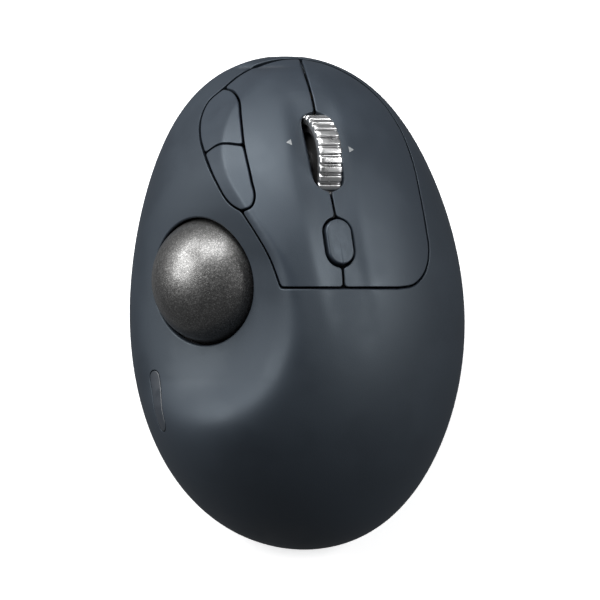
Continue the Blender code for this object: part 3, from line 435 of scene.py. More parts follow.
class BodySkin:
    """The outer surface unrolled: (u, v) is the way and direction from the crown over it."""

    def __init__(self, bearings=720, spacing=0.25):
        self.spacing = spacing
        self.turns = full_turn(bearings)
        self.turn_step = 2 * np.pi / bearings
        rows = self.meridians()
        lengths = np.hypot(*np.diff(rows, axis=1).transpose(2, 0, 1))
        ways = np.concatenate([np.zeros((bearings, 1)), np.cumsum(lengths, axis=1)], axis=1)
        at = np.arange(0, ways[:, -1].max(), spacing)
        self.rows = np.array([np.column_stack([np.interp(at, way, part) for part in row.T])
                              for way, row in zip(ways, rows)])

    def meridians(self):
        """Radius and height along each bearing: over the dome, then down past the base."""
        shares = np.maximum(np.sin(np.linspace(0, np.pi / 2, 600)), 1e-6)
        rims = rim_radius(self.turns)[:, None]
        radius = shares * rims
        z = height(radius * np.cos(self.turns)[:, None], radius * np.sin(self.turns)[:, None])
        top = z[:, -1:]
        wall_z = top + (-4.0 - top) * np.linspace(0, 1, 60)[1:]
        drawn = rims * (1 - UNDERCUT * ((top - wall_z) / (top - BASE_Z)) ** 1.6)
        radius, z = np.concatenate([radius, drawn], 1), np.concatenate([z, wall_z], 1)
        return np.stack([radius, z], axis=2)

    def beside(self, turn):
        """The meridians on either side of each direction, and how far it lies between them."""
        share = np.mod(turn, 2 * np.pi) / self.turn_step
        low = np.floor(share).astype(int) % len(self.turns)
        return low, (low + 1) % len(self.turns), (share - np.floor(share))[:, None]

    def profile_at(self, turn):
        low, high, part = self.beside(turn)
        return self.rows[low] * (1 - part[..., None]) + self.rows[high] * part[..., None]

    def place(self, uv):
        """Points on the surface at unrolled places."""
        way, turn = np.hypot(uv[:, 0], uv[:, 1]), np.arctan2(uv[:, 1], uv[:, 0])
        low, high, part = self.beside(turn)
        k = np.clip(way / self.spacing, 0, self.rows.shape[1] - 1.001)
        near = k.astype(int)
        rest = (k - near)[:, None]
        first = self.rows[low, near] * (1 - part) + self.rows[high, near] * part
        second = self.rows[low, near + 1] * (1 - part) + self.rows[high, near + 1] * part
        rz = first * (1 - rest) + second * rest
        return np.stack([rz[:, 0] * np.cos(turn), rz[:, 0] * np.sin(turn), rz[:, 1]], axis=1)

    def normal(self, uv, reach=0.35):
        """Outward directions at unrolled places."""
        du, dv = np.array([reach, 0.0]), np.array([0.0, reach])
        across = self.place(uv + du) - self.place(uv - du)
        along = self.place(uv + dv) - self.place(uv - dv)
        return unit(np.cross(across, along))

    def unroll(self, points):
        """Unrolled places of the surface points nearest to the given ones."""
        turn = np.arctan2(points[:, 1], points[:, 0])
        target = np.stack([np.hypot(points[:, 0], points[:, 1]), points[:, 2]], axis=1)
        way = np.empty(len(points))
        for first in range(0, len(points), 2000):
            part = slice(first, first + 2000)
            rows = self.profile_at(turn[part])
            here = target[part]
            near = np.argmin(((rows - here[:, None]) ** 2).sum(2), axis=1)
            near = np.clip(near, 1, rows.shape[1] - 2)
            index = np.arange(len(near))
            before, after = rows[index, near - 1], rows[index, near + 1]
            along = after - before
            share = ((here - before) * along).sum(1) / np.maximum((along**2).sum(1), 1e-9)
            way[part] = (near - 1 + 2 * np.clip(share, 0, 1)) * self.spacing
        return np.stack([way * np.cos(turn), way * np.sin(turn)], axis=1)


# ---------------------------------------------------------------- closed loops of points
def way_along(points):
    """How far each point lies along the line through them all."""
    return np.concatenate([[0], np.cumsum(np.linalg.norm(np.diff(points, axis=0), axis=1))])


def smooth_run(points, spacing):
    """Evenly spaced points along a smooth curve through the given ones, both ends included."""
    p = np.array(points, float)
    if len(p) < 3:
        p = np.linspace(p[0], p[-1], 3)
    way = way_along(p)
    at = np.linspace(0, way[-1], max(2, round(way[-1] / spacing) + 1))
    return np.column_stack([through(list(zip(way, part)), at) for part in p.T])


def closed_outline(*runs, spacing=0.6):
    """Joins runs end to end into one closed outline, turned counter-clockwise."""
    outline = np.concatenate([smooth_run(run, spacing)[:-1] for run in runs])
    following = np.roll(outline, -1, axis=0)
    area = (outline[:, 0] * following[:, 1] - following[:, 0] * outline[:, 1]).sum()
    return outline if area > 0 else outline[::-1]


def even_loop(points, spacing, measured=None):
    """The same closed loop with evenly spaced points, by distance in the measured columns."""
    closed = np.concatenate([points, points[:1]])
    way = way_along(closed[:, :measured])
    at = np.linspace(0, way[-1], max(8, round(way[-1] / spacing)), endpoint=False)
    return np.column_stack([np.interp(at, way, part) for part in closed.T])


def soften(values, reach):
    """Smooths values along a closed loop over some points either way, which rounds corners."""
    count = int(math.ceil(2.5 * reach))
    offsets = np.arange(-count, count + 1)
    weights = np.exp(-0.5 * (offsets / max(reach, 1e-6)) ** 2)
    weights /= weights.sum()
    return sum(w * np.roll(values, o, axis=0) for w, o in zip(weights, offsets))


def inside_outline(points, outline):
    x, y = points[:, 0], points[:, 1]
    inside = np.zeros(len(points), bool)
    for (x0, y0), (x1, y1) in zip(outline, np.roll(outline, -1, axis=0)):
        if y0 == y1:
            continue
        crosses = (y0 > y) != (y1 > y)
        inside ^= crosses & (x < (x1 - x0) * (y - y0) / (y1 - y0) + x0)
    return inside


def inside_area(points, rings):
    """Which points lie inside the first ring and outside the others."""
    inside = inside_outline(points, rings[0])
    for hole in rings[1:]:
        inside &= ~inside_outline(points, hole)
    return inside


def distance_to_loop(points, loop):
    """Shortest distance from each point to a closed line."""
    nearest = np.full(len(points), 1e9)
    for a, b in zip(loop, np.roll(loop, -1, axis=0)):
        along = b - a
        share = np.clip((points - a) @ along / max(along @ along, 1e-12), 0, 1)
        gap = points - a - share[:, None] * along
        nearest = np.minimum(nearest, (gap**2).sum(1))
    return np.sqrt(nearest)


def level_loops(us, vs, field):
    """Closed loops along which a sampled field is zero."""
    below = field < 0
    links = {}

    def crossing(kind, i, j):
        a = field[i, j]
        b = field[i, j + 1] if kind == "across" else field[i + 1, j]
        share = a / (a - b)
        if kind == "across":
            return us[j] + share * (us[j + 1] - us[j]), vs[i]
        return us[j], vs[i] + share * (vs[i + 1] - vs[i])

    sides = [("across", 0, 0), ("down", 0, 1), ("across", 1, 0), ("down", 0, 0)]
    corners = np.stack([below[:-1, :-1], below[:-1, 1:], below[1:, 1:], below[1:, :-1]])
    mixed = np.argwhere(corners.any(0) & ~corners.all(0))
    for i, j in mixed:
        c = corners[:, i, j]
        cut = [(kind, i + di, j + dj) for k, (kind, di, dj) in enumerate(sides)
               if c[k] != c[(k + 1) % 4]]
        pairs = [cut] if len(cut) == 2 else [cut[:2], cut[2:]]
        for a, b in pairs:
            links.setdefault(a, []).append(b)
            links.setdefault(b, []).append(a)
    loops = []
    while links:
        start = next(iter(links))
        chain, here, last = [], start, None
        while here in links:
            chain.append(here)
            ways = links.pop(here)
            ahead = [w for w in ways if w != last and w in links]
            last, here = here, (ahead[0] if ahead else None)
        loops.append(np.array([crossing(*edge) for edge in chain]))
    return [loop for loop in loops if len(loop) > 30]


# ---------------------------------------------------------------- skin pieces
class Edge:
    """One closed edge of a skin piece: its sharp corner's line, its wall's way and its radius."""

    def __init__(self, skin, corner, wall, rounding, spacing=0.45, reach=1.2, clear_ball=False):
        stacked = np.column_stack([corner, np.broadcast_to(wall, corner.shape),
                                   np.broadcast_to(rounding, (len(corner), 1))])
        even = even_loop(stacked, spacing, measured=3)
        self.corner = skin.place(skin.unroll(soften(even[:, :3], reach)))
        self.wall = unit(soften(even[:, 3:6], 2.0))
        self.rounding = soften(even[:, 6], 3.0)
        self.normal = skin.normal(skin.unroll(self.corner))
        self.clear_ball = clear_ball

    def face_into(self, skin, rings):
        """Sets which way the material lies, and limits the radius in tight corners."""
        along = unit(np.roll(self.corner, -1, axis=0) - np.roll(self.corner, 1, axis=0))
        inward = unit(np.cross(self.normal, along))
        if inside_area(skin.unroll(self.corner + 0.3 * inward), rings).mean() < 0.5:
            inward = -inward
        self.inward = inward
        gap = np.linalg.norm(np.roll(self.corner, -1, axis=0) - self.corner, axis=1)
        turning = (np.roll(along, -1, axis=0) - along) / np.maximum(gap, 1e-6)[:, None]
        bend = (turning * inward).sum(1)
        limit = 0.75 / np.maximum(soften(bend, 1.0), 1e-3)
        tight = np.minimum(self.rounding, np.maximum(limit, SMALLEST_ROUNDING))
        self.rounding = self.eased_down(tight)
        for _ in range(12):
            top = self.corner + self.rounding[:, None] * inward
            caught = distance_to_loop(top, self.corner) < 0.93 * self.rounding - 0.005
            ahead = ((np.roll(top, -1, axis=0) - top) * along).sum(1)
            caught |= (ahead < 0.15 * gap) | (np.roll(ahead, 1) < 0.15 * np.roll(gap, 1))
            if not caught.any():
                break
            self.rounding = self.eased_down(np.where(caught, 0.75 * self.rounding, self.rounding))

    def eased_down(self, values):
        """Spreads low values to their neighbours and smooths what is left."""
        lowest = np.min([np.roll(values, o) for o in range(-3, 4)], axis=0)
        return np.minimum(soften(lowest, 2.0), values)

    def set_depth(self, others, thickness):
        """Sets how deep the wall goes: the thickness, and less where another edge is close by."""
        depth = np.full(len(self.corner), float(thickness))
        for other in others:
            depth = np.minimum(depth, 0.5 * distance_to_loop(self.corner, other[::3]))
        depth = np.maximum(depth, np.minimum(self.rounding + 0.2, thickness))
        self.depth = soften(depth, 2.0)


def clear_of_ball(points, room=0.6):
    """Pushes points out of the ball's room."""
    centre, clear = np.array(BALL_CENTRE), BALL_RADIUS + room
    out = points - centre
    reach = np.linalg.norm(out, axis=1, keepdims=True)
    return np.where(reach < clear, centre + out / reach * clear, points)


def fill_outline(rings, spare, spacing, crease=None):
    """Triangles that fill the area between rings of (u, v) points, with points spread inside."""
    lattice_turn = 0.35
    outer = rings[0]
    low, high = outer.min(0) - spacing, outer.max(0) + spacing
    reach = float(np.hypot(*(high - low)))
    row = spacing * math.sqrt(3) / 2
    across, along = np.meshgrid(np.arange(-reach, reach, spacing), np.arange(-reach, reach, row))
    across = across + 0.5 * spacing * (np.arange(len(across)) % 2)[:, None]
    across, along = across.ravel(), along.ravel()
    c, s = math.cos(lattice_turn), math.sin(lattice_turn)
    lattice = np.column_stack([c * across - s * along, s * across + c * along])
    lattice += (low + high) / 2
    lattice = lattice[((lattice > low) & (lattice < high)).all(1)]
    if crease is not None:
        away = np.full(len(lattice), np.inf)
        for point in crease:
            away = np.minimum(away, np.hypot(*(lattice - point).T))
        lattice = np.concatenate([lattice[away > 0.5 * spacing], crease])
    lattice = lattice[inside_area(lattice, rings)]
    for ring in rings:
        lattice = lattice[distance_to_loop(lattice, ring) > spare]
    points = np.concatenate([*rings, lattice])
    edges, first = [], 0
    for ring in rings:
        edges += [(first + i, first + (i + 1) % len(ring)) for i in range(len(ring))]
        first += len(ring)
    found = delaunay_2d_cdt([Vector(p) for p in points.tolist()], edges, [], 0, 1e-7)
    if len(found[0]) != len(points):
        raise RuntimeError("an edge of a skin piece crosses itself or another")
    origin = np.array([sources[0] for sources in found[3]])
    triangles = origin[np.array(found[2])]
    return points, triangles[inside_area(points[triangles].mean(axis=1), rings)]


def skin_object(name, skin, edges, thickness, spacing, raised=0.0, steps=4):
    """A closed piece of the body's skin with rounded edges, walls and an inner face."""
    is_wall = thickness > 0.5  # not a printed mark
    rough = [skin.unroll(edge.corner) for edge in edges]
    for edge in edges:
        edge.face_into(skin, rough)
        edge.set_depth([other.corner for other in edges if other is not edge], thickness)
    tops = [edge.corner + edge.rounding[:, None] * edge.inward for edge in edges]
    rings = [skin.unroll(top) for top in tops]
    crease = skin.unroll(crest_line()) if is_wall else None
    uv, triangles = fill_outline(rings, 0.4 * spacing, spacing, crease)
    points = [skin.place(uv)]
    normals = [skin.normal(uv)]
    faces = [tuple(t) for t in triangles.tolist()]
    firsts = np.cumsum([0] + [len(ring) for ring in rings])
    total = len(uv)
    inner_rings = []
    for k, edge in enumerate(edges):
        count = len(edge.corner)
        index = np.arange(count) + firsts[k]
        top = points[0][index]
        low = edge.corner + edge.rounding[:, None] * edge.wall
        share = (edge.inward * edge.wall).sum(1, keepdims=True)
        wall_face = unit(-edge.inward + share * edge.wall)
        a, b = unit(edge.corner - top), unit(low - edge.corner)
        middle = np.sqrt(np.clip(1 + (a * b).sum(1, keepdims=True), 0, 2) / 2)
        rows, row_normals = [], []
        for t in np.linspace(0, 1, steps + 1)[1:]:
            w = ((1 - t) ** 2, 2 * t * (1 - t) * middle, t**2)
            rows.append((w[0] * top + w[1] * edge.corner + w[2] * low) / (w[0] + w[1] + w[2]))
            row_normals.append(unit((1 - t) * normals[0][index] + t * wall_face))
        facing = np.maximum(-(edge.wall * edge.normal).sum(1, keepdims=True), 0.5)
        base = edge.corner + edge.wall * edge.depth[:, None] / facing
        rows += [0.5 * (rows[-1] + base), base]
        row_normals += [wall_face, unit(wall_face - edge.normal)]
        if edge.clear_ball:
            rows = [clear_of_ball(row) for row in rows]
        for row, row_normal in zip(rows, row_normals):
            following = np.arange(count) + total
            faces += [(int(index[i]), int(index[(i + 1) % count]), int(following[(i + 1) % count]),
                       int(following[i])) for i in range(count)]
            points.append(row)
            normals.append(row_normal)
            index = following
            total += count
        inner_rings.append((index, skin.unroll(rows[-1])))
    inner_spacing = max(2.6, 2.2 * spacing) if is_wall else spacing
    inner_uv, inner_faces = fill_outline([ring for _, ring in inner_rings],
                                         0.8 * thickness + 0.3, inner_spacing)
    on_rings = sum(len(ring) for _, ring in inner_rings)
    lookup = np.concatenate([np.concatenate([index for index, _ in inner_rings]),
                             np.arange(len(inner_uv) - on_rings) + total])
    inside = inner_uv[on_rings:]
    inside_normals = skin.normal(inside, 1.2)
    points.append(skin.place(inside) - thickness * inside_normals)
    normals.append(-inside_normals)
    faces += [tuple(t) for t in lookup[inner_faces[:, ::-1]].tolist()]
    points, normals = np.concatenate(points), np.concatenate(normals)
    if raised:
        points = points + raised * skin.normal(skin.unroll(points))
    return closed_object(name, points, faces, normals)


def new_object(name, data):
    obj = bpy.data.objects.new(name, data)
    bpy.context.scene.collection.objects.link(obj)
    return obj


def closed_object(name, points, faces, normals=None, sharp=None):
    """An object in metres from points in millimetres, with its faces turned outwards."""
    mesh = bpy.data.meshes.new(name)
    mesh.from_pydata((np.asarray(points, float) * MM).tolist(), [], faces)
    bm = bmesh.new()
    bm.from_mesh(mesh)
    bmesh.ops.recalc_face_normals(bm, faces=bm.faces)
    if bm.calc_volume(signed=True) < 0:
        bmesh.ops.reverse_faces(bm, faces=bm.faces)
    bm.to_mesh(mesh)
    bm.free()
    mesh.shade_smooth()
    if normals is not None:
        mesh.normals_split_custom_set_from_vertices(normals.tolist())
    elif sharp:
        mesh.set_sharp_from_angle(angle=math.radians(sharp))
    return new_object(name, mesh)


def slot_gap(points, placed, length, width):
    """Distance from points to a round-ended slot in a frame's XY plane, negative inside it."""
    local = into(placed, points)
    beyond = np.maximum(np.abs(local[:, 1]) - (length - width) / 2, 0)
    gap = np.hypot(local[:, 0], beyond) - width / 2
    return np.where(local[:, 2] > -6, gap, 50.0)


def surface_loop(placed, outline, low=-12.0, high=30.0):
    """Where lines along a frame's Z, through an outline in its XY plane, leave the body."""
    outline = np.asarray(outline, float)
    bottom, top = np.full(len(outline), low), np.full(len(outline), high)
    for _ in range(40):
        middle = (bottom + top) / 2
        points = out_of(placed, np.column_stack([outline, middle]))
        beneath = points[:, 2] < height(points[:, 0], points[:, 1])
        bottom, top = np.where(beneath, middle, bottom), np.where(beneath, top, middle)
    return out_of(placed, np.column_stack([outline, (bottom + top) / 2]))


def plate_outline(length, width, corner=None, steps=14):
    """A round-cornered rectangle, long in Y. Without a corner radius its ends are half round."""
    corner = width / 2 if corner is None else min(corner, width / 2 - 1e-4, length / 2 - 1e-4)
    loop = []
    for quarter, (sx, sy) in enumerate(((1, 1), (-1, 1), (-1, -1), (1, -1))):
        for i in range(steps + 1):
            turn = math.pi / 2 * (quarter + i / steps)
            loop.append((sx * (width / 2 - corner) + corner * math.cos(turn),
                         sy * (length / 2 - corner) + corner * math.sin(turn)))
    return np.array(loop)


def loft(name, loops, sharp=40, cap=True):
    """Skins closed loops of equal count one to the next; without caps the last joins the first."""
    count = len(loops[0])
    points = np.concatenate(loops)
    rows = len(loops)
    faces = []
    for row in range(rows - 1 if cap else rows):
        low, high = row * count, (row + 1) % rows * count
        faces += [(low + i, low + (i + 1) % count, high + (i + 1) % count, high + i)
                  for i in range(count)]
    if cap:
        faces += [tuple(range(count))[::-1], tuple(range((rows - 1) * count, rows * count))]
    return closed_object(name, points, faces, sharp=sharp)


def plate(name, placed, levels, corner=None, sharp=40):
    """A plate or key built from levels of (length, width, height), each with round corners."""
    widest = max(level[1] for level in levels)
    loops = []
    for length, width, z in levels:
        reduced = None if corner is None else max(corner - (widest - width) / 2, 0.05)
        loops.append(out_of(placed, at_level(plate_outline(length, width, reduced), z)))
    return loft(name, loops, sharp)


def rounded_levels(length, width, low, high, radius, top_radius=None, steps=4):
    """Levels of a plate with flat faces and rounded lower and upper edges."""
    top_radius = radius if top_radius is None else top_radius
    turns = [math.pi / 2 * i / steps for i in range(steps + 1)]
    insets = [(radius + 0.1, low)]
    insets += [(radius * (1 - math.sin(turn)), low + radius * (1 - math.cos(turn)))
               for turn in turns]
    insets += [(top_radius * (1 - math.cos(turn)), high - top_radius * (1 - math.sin(turn)))
               for turn in turns]
    insets += [(top_radius + more, high) for more in ((0.1, 0.6) if width > 3 else (0.1,))]
    return [(length - 2 * inset, width - 2 * inset, z) for inset, z in insets]


def revolved(name, placed, profile, sectors=96, closed=True, sharp=35):
    """A profile of (radius, height) turned round Z: closed on itself, or capped at the axis."""
    loops = [out_of(placed, ring_of(full_turn(sectors), r, z)) for r, z in profile]
    return loft(name, loops, sharp, cap=not closed)


def finish_piece(obj, body, slot, *nodes, material=None):
    """Gives a piece its finish, body and slot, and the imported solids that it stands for."""
    obj.data.materials.clear()
    obj.data.materials.append(material or finish_for(slot))
    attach(obj, body)
    if nodes:
        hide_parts(*nodes)
    return obj


# ---------------------------------------------------------------- shader node groups
def new_group(name, inputs, outputs):
    """A shader node group with named float inputs and outputs, and its input and output nodes."""
    group = bpy.data.node_groups.new(name, "ShaderNodeTree")
    number = "NodeSocketFloat"
    for label, default in inputs:
        socket = group.interface.new_socket(name=label, in_out="INPUT", socket_type=number)
        socket.default_value = default
    for label in outputs:
        group.interface.new_socket(name=label, in_out="OUTPUT", socket_type=number)
    return group, group.nodes.new("NodeGroupInput"), group.nodes.new("NodeGroupOutput")


def put_out(group, result, **sockets):
    """Links a group's results to its outputs, and gives the finished group."""
    for label, socket in sockets.items():
        group.links.new(socket, result.inputs[label])
    return group


def feed(tree, target, value):
    """Sets an input to a number, or links it."""
    if isinstance(value, bpy.types.NodeSocket):
        tree.links.new(value, target)
    else:
        target.default_value = value


def maths(tree, operation, first, second=0.0, third=None, clamp=False):
    node = tree.nodes.new("ShaderNodeMath")
    node.operation = operation
    node.use_clamp = clamp
    feed(tree, node.inputs[0], first)
    feed(tree, node.inputs[1], second)
    if third is not None:
        feed(tree, node.inputs[2], third)
    return node.outputs[0]


def ranged(tree, value, low, high, to_low=0.0, to_high=1.0):
    """A value brought from one range to another, and kept inside it."""
    node = tree.nodes.new("ShaderNodeMapRange")
    node.interpolation_type = "SMOOTHSTEP"
    for socket, given in zip(node.inputs, (value, low, high, to_low, to_high)):
        feed(tree, socket, given)
    return node.outputs[0]


def noise(tree, scale, detail=2.0, roughness=0.5, stretch=None):
    place = tree.nodes.new("ShaderNodeTexCoord").outputs["Object"]
    if stretch:
        mapping = tree.nodes.new("ShaderNodeMapping")
        mapping.inputs["Scale"].default_value = stretch
        tree.links.new(place, mapping.inputs["Vector"])
        place = mapping.outputs["Vector"]
    node = tree.nodes.new("ShaderNodeTexNoise")
    tree.links.new(place, node.inputs["Vector"])
    feed(tree, node.inputs["Scale"], scale)
    node.inputs["Detail"].default_value = detail
    node.inputs["Roughness"].default_value = roughness
    return node.outputs["Fac"]


def cells(tree, scale, output="Color"):
    node = tree.nodes.new("ShaderNodeTexVoronoi")
    tree.links.new(tree.nodes.new("ShaderNodeTexCoord").outputs["Object"], node.inputs["Vector"])
    feed(tree, node.inputs["Scale"], scale)
    return node.outputs[output]


def moulded_grain_group():
    """Spark-eroded mould grain: tiny rounded pits with a slow drift in tone and gloss."""
    group, given, result = new_group(
        "moulded grain", [("Grain Scale", 2600.0), ("Drift Scale", 45.0)],
        ["Height", "Tone", "Gloss"])
    grain = given.outputs["Grain Scale"]
    pits = cells(group, grain, "Distance")
    fine = noise(group, maths(group, "MULTIPLY", grain, 1.7), 2.0, 0.6)
    relief = maths(group, "MULTIPLY_ADD", fine, 0.6, maths(group, "MULTIPLY", pits, 0.5))
    drift = noise(group, given.outputs["Drift Scale"], 3.0, 0.55)
    slow = ranged(group, drift, 0.35, 0.65)
    tone = maths(group, "MULTIPLY_ADD", fine, 0.55, maths(group, "MULTIPLY", slow, 0.45))
    gloss = maths(group, "MULTIPLY_ADD", slow, 0.6, maths(group, "MULTIPLY", fine, 0.4))
    return put_out(group, result, Height=relief, Tone=tone, Gloss=gloss)


def handled_edges_group():
    """Where fingers rub: convex edges, broken up by a fine noise."""
    group, given, result = new_group(
        "handled edges", [("Reach", 0.012), ("Breakup Scale", 420.0)], ["Wear"])
    point = group.nodes.new("ShaderNodeNewGeometry").outputs["Pointiness"]
    top = maths(group, "ADD", given.outputs["Reach"], 0.515)
    edge = ranged(group, point, 0.508, top)
    broken = ranged(group, noise(group, given.outputs["Breakup Scale"], 4.0, 0.6), 0.35, 0.7)
    return put_out(group, result, Wear=maths(group, "MULTIPLY", edge, broken))


def dust_and_hollow_shade_group():
    """Fine dust that settles on what faces up and gathers a little in hollows; the hollow part
    alone also serves as painted shade on worked metal.
    """
    group, given, result = new_group("settled dust", [("Scale", 900.0), ("Cover", 0.5)], ["Dust"])
    geometry = group.nodes.new("ShaderNodeNewGeometry")
    split = group.nodes.new("ShaderNodeSeparateXYZ")
    group.links.new(geometry.outputs["Normal"], split.inputs[0])
    upward = ranged(group, split.outputs["Z"], 0.2, 1.0)
    specks = ranged(group, noise(group, given.outputs["Scale"], 5.0, 0.75), 0.62, 0.78)
    hollow = ranged(group, geometry.outputs["Pointiness"], 0.5, 0.47)
    settled = maths(group, "MULTIPLY", upward, specks)
    settled = maths(group, "MULTIPLY", settled, given.outputs["Cover"])
    dust = maths(group, "MULTIPLY_ADD", hollow, 0.25, settled, clamp=True)
    return put_out(group, result, Dust=dust)


def pearl_flakes_group():
    """Metal flakes set in clear resin: small plates, each tilted and toned its own way."""
    group, given, result = new_group(
        "pearl flakes", [("Flake Scale", 2600.0), ("Density", 0.45)], ["Flake", "Tone", "Tilt"])
    colour = cells(group, given.outputs["Flake Scale"], "Color")
    split = group.nodes.new("ShaderNodeSeparateColor")
    group.links.new(colour, split.inputs[0])
    low = maths(group, "SUBTRACT", 1.0, given.outputs["Density"])
    flake = ranged(group, split.outputs["Red"], low, 1.0)
    return put_out(group, result, Flake=flake, Tone=split.outputs["Green"],
                   Tilt=split.outputs["Blue"])


def scratches_group():
    """Fine hairline scratches, mostly along one direction."""
    group, given, result = new_group("hairline scratches", [("Scale", 300.0)], ["Line"])
    fine = noise(group, given.outputs["Scale"], 6.0, 0.7, stretch=(1.0, 14.0, 14.0))
    return put_out(group, result, Line=ranged(group, fine, 0.56, 0.66))


GROUP_MAKERS = {"moulded grain": moulded_grain_group, "handled edges": handled_edges_group,
                "settled dust": dust_and_hollow_shade_group, "pearl flakes": pearl_flakes_group,
                "hairline scratches": scratches_group}


def placed_group(tree, name, **values):
    """A node that uses a shared group, with its own values, made on first use."""
    node = tree.nodes.new("ShaderNodeGroup")
    node.node_tree = bpy.data.node_groups.get(name) or GROUP_MAKERS[name]()
    for label, value in values.items():
        node.inputs[label.replace("_", " ")].default_value = value
    return node.outputs


# ---------------------------------------------------------------- finishes
def mixed(tree, share, first, second):
    """A colour between two, each a constant or a socket."""
    node = tree.nodes.new("ShaderNodeMix")
    node.data_type = "RGBA"
    feed(tree, node.inputs["Factor"], share)
    for label, given in (("A", first), ("B", second)):
        is_socket = isinstance(given, bpy.types.NodeSocket)
        feed(tree, node.inputs[label], given if is_socket else (*given, 1))
    return node.outputs["Result"]


def scaled(colour, share):
    return tuple(min(1.0, c * share) for c in colour)


def new_finish(name, **constants):
    """A material with its shader, and constants set on the shader's own sockets."""
    material = bpy.data.materials.new(name)
    material.use_nodes = True
    tree = material.node_tree
    shader = tree.nodes["Principled BSDF"]
    for label, value in constants.items():
        shader.inputs[label.replace("_", " ")].default_value = value
    return material, tree, shader


def tinted(tree, base, mask, share, colour, clamp=False):
    """A base colour with another over it where a mask is high."""
    return mixed(tree, maths(tree, "MULTIPLY", mask, share, clamp=clamp), base, colour)


def dressed(tree, shader, base, gloss, relief, strength, distance):
    """Links a colour, a roughness and a bump to a shader."""
    tree.links.new(base, shader.inputs["Base Color"])
    tree.links.new(gloss, shader.inputs["Roughness"])
    bump = tree.nodes.new("ShaderNodeBump")
    bump.inputs["Strength"].default_value = strength
    bump.inputs["Distance"].default_value = distance
    tree.links.new(relief, bump.inputs["Height"])
    tree.links.new(bump.outputs["Normal"], shader.inputs["Normal"])


def moulded_plastic(name, colour, rough=(0.48, 0.58), grain=2600.0, depth=0.00003, wear=1.35,
                    dust=0.10, contrast=0.12, **constants):
    """Satin moulded plastic with grain, a drift in tone, rubbed edges and a trace of dust."""
    material, tree, shader = new_finish(name, **constants)
    texture = placed_group(tree, "moulded grain", Grain_Scale=grain)
    base = mixed(tree, texture["Tone"], scaled(colour, 1 - contrast), scaled(colour, 1 + contrast))
    rubbed = placed_group(tree, "handled edges")["Wear"]
    base = tinted(tree, base, rubbed, 0.6, scaled(colour, wear))
    dusty = placed_group(tree, "settled dust", Cover=dust)["Dust"]
    base = tinted(tree, base, dusty, 0.35, (0.30, 0.30, 0.29))
    gloss = ranged(tree, texture["Gloss"], 0.2, 0.8, *rough)
    gloss = maths(tree, "SUBTRACT", gloss, maths(tree, "MULTIPLY", rubbed, 0.10))
    dressed(tree, shader, base, gloss, texture["Height"], 0.55, depth)
    return material


def worked_metal(name, colour, rough=(0.14, 0.26), scratch=300.0, marks=0.3, grime=0.0):
    """Bright metal with faint hairlines, a slow drift in gloss and painted shade darkening its
    hollows.
    """
    material, tree, shader = new_finish(name, Metallic=1.0)
    line = placed_group(tree, "hairline scratches", Scale=scratch)["Line"]
    texture = placed_group(tree, "moulded grain", Grain_Scale=4200.0, Drift_Scale=160.0)
    base = mixed(tree, texture["Tone"], scaled(colour, 0.93), scaled(colour, 1.04))
    base = tinted(tree, base, line, marks, scaled(colour, 0.72))
    # Painted shade: concave places, such as the grooves between the wheel's ribs, are darkened
    # towards black.
    hollow = placed_group(tree, "settled dust", Cover=0.0)["Dust"]
    base = tinted(tree, base, hollow, grime, (0.02, 0.02, 0.022), clamp=True)
    gloss = ranged(tree, texture["Gloss"], 0.2, 0.8, *rough)
    gloss = maths(tree, "MULTIPLY_ADD", line, 0.4 * marks, gloss)
    dressed(tree, shader, base, gloss, line, 0.5 * marks, 0.00001)
    return material


def pearl_resin(name, colour):
    """The ball's resin, full of fine metal flakes under a thin coat."""
    material, tree, shader = new_finish(name, Coat_Weight=0.45, Coat_Roughness=0.17, Metallic=1.0,
                                        Coat_IOR=1.4)
    flakes = placed_group(tree, "pearl flakes", Flake_Scale=3800.0, Density=0.45)
    fine = placed_group(tree, "pearl flakes", Flake_Scale=5600.0, Density=0.4)
    texture = placed_group(tree, "moulded grain", Grain_Scale=3000.0, Drift_Scale=90.0)
    base = mixed(tree, texture["Tone"], scaled(colour, 0.85), scaled(colour, 1.12))
    base = tinted(tree, base, flakes["Flake"], 0.6, scaled(colour, 2.4))
    base = tinted(tree, base, fine["Flake"], 0.65, scaled(colour, 0.25))
    gloss = ranged(tree, flakes["Tone"], 0.0, 1.0, 0.38, 0.52)
    relief = maths(tree, "ADD", flakes["Tilt"], texture["Tone"])
    dressed(tree, shader, base, gloss, relief, 0.5, 0.00003)
    return material


def smoked_plastic(name, colour):
    """Dark glossy plastic over a lamp, with a slow drift in tone and fine moulding streaks."""
    material, tree, shader = new_finish(name, Coat_Weight=0.15, Coat_Roughness=0.2)
    texture = placed_group(tree, "moulded grain", Grain_Scale=1500.0, Drift_Scale=220.0)
    line = placed_group(tree, "hairline scratches", Scale=500.0)["Line"]
    base = mixed(tree, texture["Tone"], scaled(colour, 0.85), scaled(colour, 1.25))
    base = tinted(tree, base, line, 0.25, scaled(colour, 2.0))
    gloss = ranged(tree, texture["Gloss"], 0.2, 0.8, 0.34, 0.46)
    dressed(tree, shader, base, gloss, line, 0.1, 0.00001)
    return material


def solder_mask(name, colour):
    """A circuit board: solder mask with tracks under it and dull pads that show through it."""
    material, tree, shader = new_finish(name)
    pads = placed_group(tree, "pearl flakes", Flake_Scale=420.0, Density=0.22)["Flake"]
    tracks = placed_group(tree, "hairline scratches", Scale=160.0)["Line"]
    texture = placed_group(tree, "moulded grain", Grain_Scale=900.0)
    base = mixed(tree, texture["Tone"], scaled(colour, 0.8), scaled(colour, 1.2))
    base = tinted(tree, base, tracks, 0.6, scaled(colour, 2.4))
    base = mixed(tree, ranged(tree, pads, 0.80, 0.84), base, (0.16, 0.13, 0.08))
    gloss = ranged(tree, texture["Gloss"], 0.2, 0.8, 0.32, 0.46)
    dressed(tree, shader, base, gloss, tracks, 0.3, 0.00004)
    return material


COOL = (0.78, 0.90, 1.0, 1.0)
